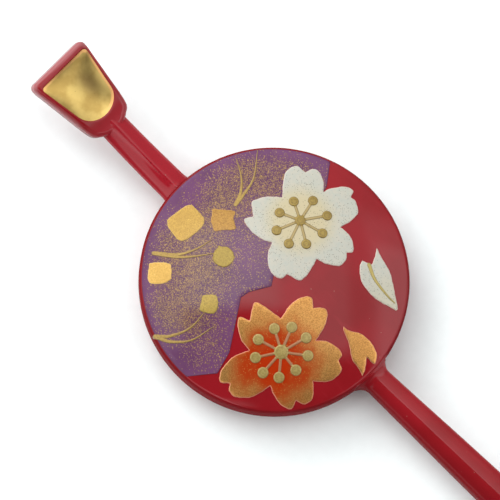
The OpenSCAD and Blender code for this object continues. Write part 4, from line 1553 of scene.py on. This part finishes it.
@dataclass
class Studio:
    """The pale table, the white tent over it, a soft window light and the camera.

    Places are given as the camera sees them: to the right, down the picture, and up
    from the table, in metres.
    """

    distance: float = 0.6
    sensor: float = 36.0
    view_w: float = 70.25
    tilt: float = 12.0
    aim: tuple[float, float, float] = (-5.55, 0.95, 4.0)
    roll: float = 44.0
    lean_right: float = -0.3
    lean_down: float = 0.954
    table_size: float = 2.5
    window: SoftLight = SoftLight("window_light", (-0.75, -1.15, 0.62), (1.0, 0.5), 2.0)
    table_lights: tuple[SoftLight, ...] = (
        SoftLight("table_light", (-0.9, -1.0, 0.9), (1.2, 0.9), 3.6),
        SoftLight("low_light", (-1.2, 0.35, 0.6), (0.9, 0.7), 0.9),
    )
    tent_glow: float = 1.4
    near_side_glow: float = 0.12
    near_side: tuple[float, float] = (0.72, 0.88)
    backdrop: str = "#E6E6E6"
    patches: tuple[SkyPatch, ...] = (
        SkyPatch(1.7, 0.20, down=(None, -1.15)),
        SkyPatch(2.0, 0.20, right=(None, -0.95)),
        SkyPatch(1.4, 0.15, right=(0.95, None)),
        SkyPatch(0.45, 0.20, right=(0.70, None), down=(None, -0.75)),
        SkyPatch(0.75, 0.12, right=(-0.30, 0.90), down=(-1.20, -0.66)),
        SkyPatch(2.6, 0.10, right=(-0.40, 0.08), down=(-0.50, None)),
        SkyPatch(2.2, 0.06, right=(0.66, 1.10), down=(-0.45, 0.50)),
        SkyPatch(1.6, 0.06, right=(0.12, 0.46), down=(-0.40, 0.20)),
        SkyPatch(1.0, 0.05, right=(0.46, 0.60), down=(-0.70, 0.30)),
        SkyPatch(0.55, 0.10, right=(-0.55, -0.28), down=(-1.00, -0.62)),
        SkyPatch(0.12, 0.10, right=(-0.25, 0.42), down=(0.50, None)),
        SkyPatch(0.12, 0.15, right=(0.68, None), down=(1.10, None)),
        SkyPatch(0.06, 0.06, right=(-0.70, -0.48), down=(0.38, 0.66)),
        SkyPatch(0.20, 0.20, right=(None, -0.10), down=(1.45, None)),
        SkyPatch(0.03, 0.05, right=(-0.42, 0.02), down=(-0.04, 0.48)),
        SkyPatch(0.05, 0.05, right=(-0.52, -0.36), down=(0.16, 0.46)),
        SkyPatch(0.20, 0.05, right=(-0.02, 0.17), down=(-0.02, 0.24)),
        SkyPatch(0.03, 0.07, right=(-0.06, 0.66), down=(0.20, None)),
    )

    @property
    def right(self) -> np.ndarray:
        """The picture's rightward direction on the table."""
        return np.append(spoke(self.roll), 0.0)

    @property
    def down(self) -> np.ndarray:
        """The picture's downward direction on the table."""
        return np.append(spoke(self.roll - 90), 0.0)

    def set_camera(self) -> bpy.types.Object:
        """Places the camera at the picture's angle.

        Returns:
            The camera.
        """
        a, b = np.array([self.lean_right, self.lean_down]) / math.hypot(self.lean_right, self.lean_down)
        lean, across = a * self.right + b * self.down, -b * self.right + a * self.down
        c, s = spoke(self.tilt)
        up = np.array([0.0, 0.0, 1.0])
        view, flat = lean * s + up * c, lean * c - up * s
        lens = bpy.data.cameras.new("camera")
        lens.sensor_fit = "HORIZONTAL"
        lens.sensor_width = self.sensor
        lens.lens = self.sensor * self.distance / (self.view_w * MM)
        lens.clip_start = 0.05
        camera = bpy.data.objects.new("camera", lens)
        bpy.context.scene.collection.objects.link(camera)
        turn = Matrix([list(a * flat - b * across), list(-(b * flat + a * across)), list(view)]).transposed().to_4x4()
        camera.matrix_world = Matrix.Translation(Vector(np.array(self.aim) * MM + view * self.distance)) @ turn
        bpy.context.scene.camera = camera
        return camera

    def set_table(self) -> bpy.types.Object:
        """Lays the table top under the plate's flat back.

        Returns:
            The table top.
        """
        work = bmesh.new()
        bmesh.ops.create_grid(work, x_segments=8, y_segments=8, size=self.table_size)
        mesh = bpy.data.meshes.new("table_top")
        work.to_mesh(mesh)
        work.free()
        mesh.materials.append(TablePaint().material())
        table = bpy.data.objects.new("table_top", mesh)
        bpy.context.scene.collection.objects.link(table)
        return table

    def hang_light(self, lamp: SoftLight) -> bpy.types.Object:
        """Hangs one soft square light that looks at the plate.

        Args:
            lamp: The light's name, place, size and glow.

        Returns:
            The light.
        """
        light = bpy.data.lights.new(lamp.name, "AREA")
        light.shape = "RECTANGLE"
        light.size, light.size_y = lamp.sides
        light.energy = lamp.glow * math.pi * lamp.sides[0] * lamp.sides[1]
        holder = bpy.data.objects.new(lamp.name, light)
        r, d, u = lamp.place
        at = Vector(r * self.right + d * self.down + np.array([0, 0, u]))
        holder.matrix_world = Matrix.Translation(at) @ (-at).normalized().to_track_quat("-Z", "Y").to_matrix().to_4x4()
        holder.visible_camera = False
        bpy.context.scene.collection.objects.link(holder)
        return holder

    def set_lights(self, table: bpy.types.Object) -> None:
        """Hangs the window light, and two lights of the table's own that whiten it.

        Args:
            table: The table top, the only thing that its own lights reach.
        """
        self.hang_light(self.window)
        reached = bpy.data.collections.new("lit_by_table_lights")
        reached.objects.link(table)
        for lamp in self.table_lights:
            self.hang_light(lamp).light_linking.receiver_collection = reached

    def set_tent(self) -> bpy.types.World:
        """Lights the white tent patch by patch.

        Returns:
            The world that holds it.
        """
        world = bpy.data.worlds.new("white_tent")
        world.use_nodes = True
        tree = world.node_tree
        tree.nodes.clear()
        look = add_node(tree, "TexCoord")["Generated"]
        height, right, down = (add_node(tree, "VectorMath", {0: look, 1: tuple(axis)}, operation="DOT_PRODUCT")["Value"]
                               for axis in ((0.0, 0.0, 1.0), self.right, self.down))
        above = add_node(tree, "Math", {0: height, 1: 0.05}, operation="MAXIMUM")["Value"]
        places = [add_node(tree, "Math", {0: along, 1: above}, operation="DIVIDE")["Value"] for along in (right, down)]
        glow: Any = self.tent_glow
        for patch in self.patches:
            cover: Any = 1.0
            for place, limits in zip(places, (patch.right, patch.down)):
                for limit, soft in zip(limits, (patch.soft, -patch.soft)):
                    if limit is not None:
                        span = {"Value": place, "From Min": limit - soft, "From Max": limit + soft}
                        edge = add_node(tree, "MapRange", span, interpolation_type="SMOOTHSTEP")["Result"]
                        cover = add_node(tree, "Math", {0: cover, 1: edge}, operation="MULTIPLY")["Value"]
            glow = add_node(tree, "Mix", {0: cover, 2: glow, 3: patch.glow})[0]
        near = add_node(tree, "MapRange", {"Value": down, "From Min": self.near_side[0], "From Max": self.near_side[1]},
                        interpolation_type="SMOOTHSTEP")["Result"]
        glow = add_node(tree, "Mix", {0: near, 2: glow, 3: self.near_side_glow})[0]
        tent = add_node(tree, "Background", {"Color": (1.0, 1.0, 1.0, 1.0), "Strength": glow})["Background"]
        # seen past the table's far edge, the tent is an even pale grey
        plain = add_node(tree, "Background", {"Color": linear(self.backdrop)})["Background"]
        seen = add_node(tree, "LightPath")["Is Camera Ray"]
        either = add_node(tree, "MixShader", {0: seen, 1: tent, 2: plain})["Shader"]
        add_node(tree, "OutputWorld", {"Surface": either})
        bpy.context.scene.world = world
        bpy.context.scene.view_settings.view_transform = "Standard"
        bpy.context.scene.view_settings.look = "None"
        return world


WHITE_PETALS = [
    [(36, 0.65), (45, 0.81), (54, 0.95), (65, 0.97), (71, 0.93), (76, 1.02), (83, 0.95), (92, 0.75)],
    [(96, 0.63), (104, 0.78), (112, 0.89), (119, 0.92), (127, 0.83), (136, 0.93), (146, 0.88), (154, 0.74)],
    [(170, 0.48), (186, 0.65), (198, 0.79), (204, 0.82), (219, 0.75), (223, 0.89), (235, 0.82), (250, 0.70)],
    [(263, 0.59), (272, 0.79), (284, 0.97), (295, 1.01), (300, 0.91), (312, 0.98), (318, 0.93), (325, 0.82)],
    [(336, 0.68), (344, 0.81), (354, 0.95), (363, 0.96), (369, 0.90), (374, 0.97), (383, 0.90), (391, 0.77)],
]
ORANGE_PETALS = [
    [(3, 0.66), (10, 0.79), (18, 0.91), (29, 0.98), (37, 0.90), (43, 0.95), (51, 0.86), (59, 0.71)],
    [(63, 0.57), (74, 0.77), (83, 0.93), (90, 0.96), (98, 0.85), (104, 0.96), (111, 0.94), (122, 0.77)],
    [(135, 0.52), (150, 0.68), (159, 0.84), (165, 0.85), (179, 0.69), (184, 0.84), (192, 0.80), (206, 0.66)],
    [(221, 0.50), (229, 0.74), (240, 0.96), (249, 1.04), (255, 0.92), (260, 0.99), (268, 0.97), (281, 0.80)],
    [(296, 0.54), (304, 0.65), (313, 0.78), (324, 0.87), (332, 0.77), (339, 0.86), (348, 0.86), (356, 0.76)],
]
WHITE_STAMENS = [(14, 0.92), (56, 1.00), (102, 0.90), (151, 0.75), (203, 0.79), (248, 0.94), (288, 0.97), (327, 0.90)]
ORANGE_STAMENS = [(37, 0.94), (74, 1.00), (111, 0.93), (151, 0.84), (196, 0.91), (236, 0.92), (272, 0.95), (309, 0.87),
                  (354, 0.80)]
WHITE_PETAL = [
    [(0.80, 0.00), (0.92, 0.40)],
    [(0.92, 0.40), (0.86, 0.68), (0.69, 0.98), (0.52, 1.00), (0.29, 0.76), (0.08, 0.25), (0.00, 0.05)],
    [(0.00, 0.05), (0.02, -0.12), (0.19, -0.31), (0.37, -0.53), (0.58, -0.72), (0.80, -0.70), (1.00, -0.73)],
    [(1.00, -0.73), (0.88, -0.35), (0.80, 0.00)],
]
ORANGE_PETAL = [
    [(0.77, 0.00), (0.90, 0.07), (0.98, 0.18)],
    [(0.98, 0.18), (0.85, 0.74), (0.61, 0.94), (0.34, 0.74), (0.13, 0.14), (0.00, 0.00)],
    [(0.00, 0.00), (0.07, -0.19), (0.35, -0.50), (0.60, -0.96), (0.81, -1.00), (1.00, -1.08)],
    [(1.00, -1.08), (0.94, -0.66), (0.77, 0.00)],
]
VEIN = [(0.815, 0.165), (0.57, 0.28), (0.27, 0.10), (0.10, -0.10)]


@dataclass
class Hairpin:
    """The whole hairpin: plate, ornament, scoop, neck and pin."""

    form: PlateForm = field(default_factory=PlateForm)
    made: list[bpy.types.Object] = field(default_factory=list)

    def keep(self, piece: bpy.types.Object, slot: Slot, *nodes: str) -> None:
        """Lets a piece ride on the part and stand for its solids.

        Args:
            piece: The finished piece.
            slot: The material slot meant for its finish; not used.
            nodes: The solids that it stands for.
        """
        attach(piece, "root")
        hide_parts(*nodes)
        self.made.append(piece)
        LOG.info("%s, %d points, stands for %s", piece.name, len(piece.data.vertices), ", ".join(nodes))

    def build(self) -> None:
        """Builds every piece, from the plate up."""
        red = RedUrushi().material()
        self.keep(Plate(self.form).build(red), Slot.RED, "disc")
        stem, dish = Stem().build(red, BurnishedGilding().material())
        self.keep(stem, Slot.RED, "stem")
        self.keep(dish, Slot.GILDING, "gilt_dish")
        self.keep(Pin().build(red), Slot.RED, "pin")
        self.keep(PurpleGround().build(self.form, PurpleNashiji().material()), Slot.PURPLE, "purple_field")
        self.build_blossoms()
        self.build_petals()
        self.build_gold()

    def build_blossoms(self) -> None:
        """Builds the two blossoms, each with its stamens."""
        r = self.form.radius
        olive = BurnishedPowder("stamen_gold_burnished", "#A48C42", "#8E7636", "#6A5428", thread_tone="#A89462",
                                ring=0.3)
        pale = BurnishedPowder("pale_stamen_gold_burnished", "#B5A160", "#9E8A4C", "#8A5D33", thread_tone="#AE7A55",
                               ring=0.15)
        white = Blossom("white_blossom", (-0.158 * r, 0.424 * r), reach=8.8, petals=WHITE_PETALS, stamens=WHITE_STAMENS,
                        stamen_reach=3.9, head_d=1.46, eye_d=1.56)
        orange = Blossom("orange_blossom", (0.418 * r, -0.382 * r), reach=9.0, petals=ORANGE_PETALS,
                         stamens=ORANGE_STAMENS, stamen_reach=4.0, head_d=1.62, eye_d=2.08, shade_shift=(0.7, -1.7))
        for blossom, lacquer, gold, slot, nodes in (
                (white, WhiteUrushi(), olive, Slot.WHITE, ("white_blossom", "white_stamens")),
                (orange, VermilionToGold(), pale, Slot.ORANGE, ("orange_blossom", "orange_stamens"))):
            petals, stamens = blossom.build(self.form, lacquer.material(), gold.material())
            self.keep(petals, slot, nodes[0])
            self.keep(stamens, Slot.STAMEN, nodes[1])

    def build_petals(self) -> None:
        """Builds the two loose petals and the white one's vein."""
        r = self.form.radius
        white = LoosePetal("loose_white_petal", (0.805 * r, 0.455 * r), turn=163, length=9.0, half_width=2.5,
                           stretches=WHITE_PETAL)
        even_white = WhiteUrushi(name="white_urushi_brushed_even", warmth=0.25)
        self.keep(white.build(self.form, even_white.material()), Slot.WHITE, "white_petal")
        line = blade_outline(smooth_curve(white.lay_out(VEIN), 8), from_w=0.60, to_w=0.20)
        gold = BurnishedPowder("vein_gold_burnished", "#B5A25C", "#A39150", "#96844A").material()
        vein = Relief(line, top=0.18, round_over=0.10, pitch=0.14, foot=0.08)
        self.keep(build_layers("petal_vein_line", [vein], self.form, gold), Slot.STAMEN, "petal_vein")
        orange = LoosePetal("loose_orange_petal", (0.61 * r, 0.079 * r), turn=-7.5, length=7.0, half_width=1.9,
                            stretches=ORANGE_PETAL)
        sandy = VermilionToGold(name="vermilion_urushi_mostly_gold", heart="#A05C2C", start=-0.5, end=0.30)
        self.keep(orange.build(self.form, sandy.material()), Slot.ORANGE, "orange_petal")

    def build_gold(self) -> None:
        """Builds the leaf squares, the round spot and the grass strokes."""
        tones = (("#C6A04C", "#B08A40", "#D8B862"), ("#BA8D3E", "#9C7030", "#C8984E"),
                 ("#DCB25A", "#C89C48", "#E8C678"), ("#BC9F4A", "#A0873C", "#84703A"))
        leaves = [BurnishedPowder(f"cut_gold_leaf_{i}", *tone, edge_width=0.12, grain=0.22).material()
                  for i, tone in enumerate(tones, 1)]
        spot = BurnishedPowder("gold_spot_burnished", "#AC923E", "#967D34", "#836628").material()
        grass = BurnishedPowder("grass_gold_burnished", "#B4964C", "#9C7E40", "#7B5F3F", grain=0.2, wear=0.2).material()
        for node, piece in GoldWork().build(self.form, leaves, spot, grass).items():
            self.keep(piece, Slot.GRASS if node.startswith("grass") else Slot.LEAF, node)


def main() -> None:
    """Builds the hairpin, the table, the lights and the camera."""
    logging.basicConfig(level=logging.INFO, format="%(name)s: %(message)s")
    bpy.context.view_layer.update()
    studio = Studio()
    studio.set_camera()
    studio.set_lights(studio.set_table())
    studio.set_tent()
    hairpin = Hairpin()
    hairpin.build()
    LOG.info("%d pieces made for %d solids", len(hairpin.made), len(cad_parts))


if __name__ == "__main__":
    main()
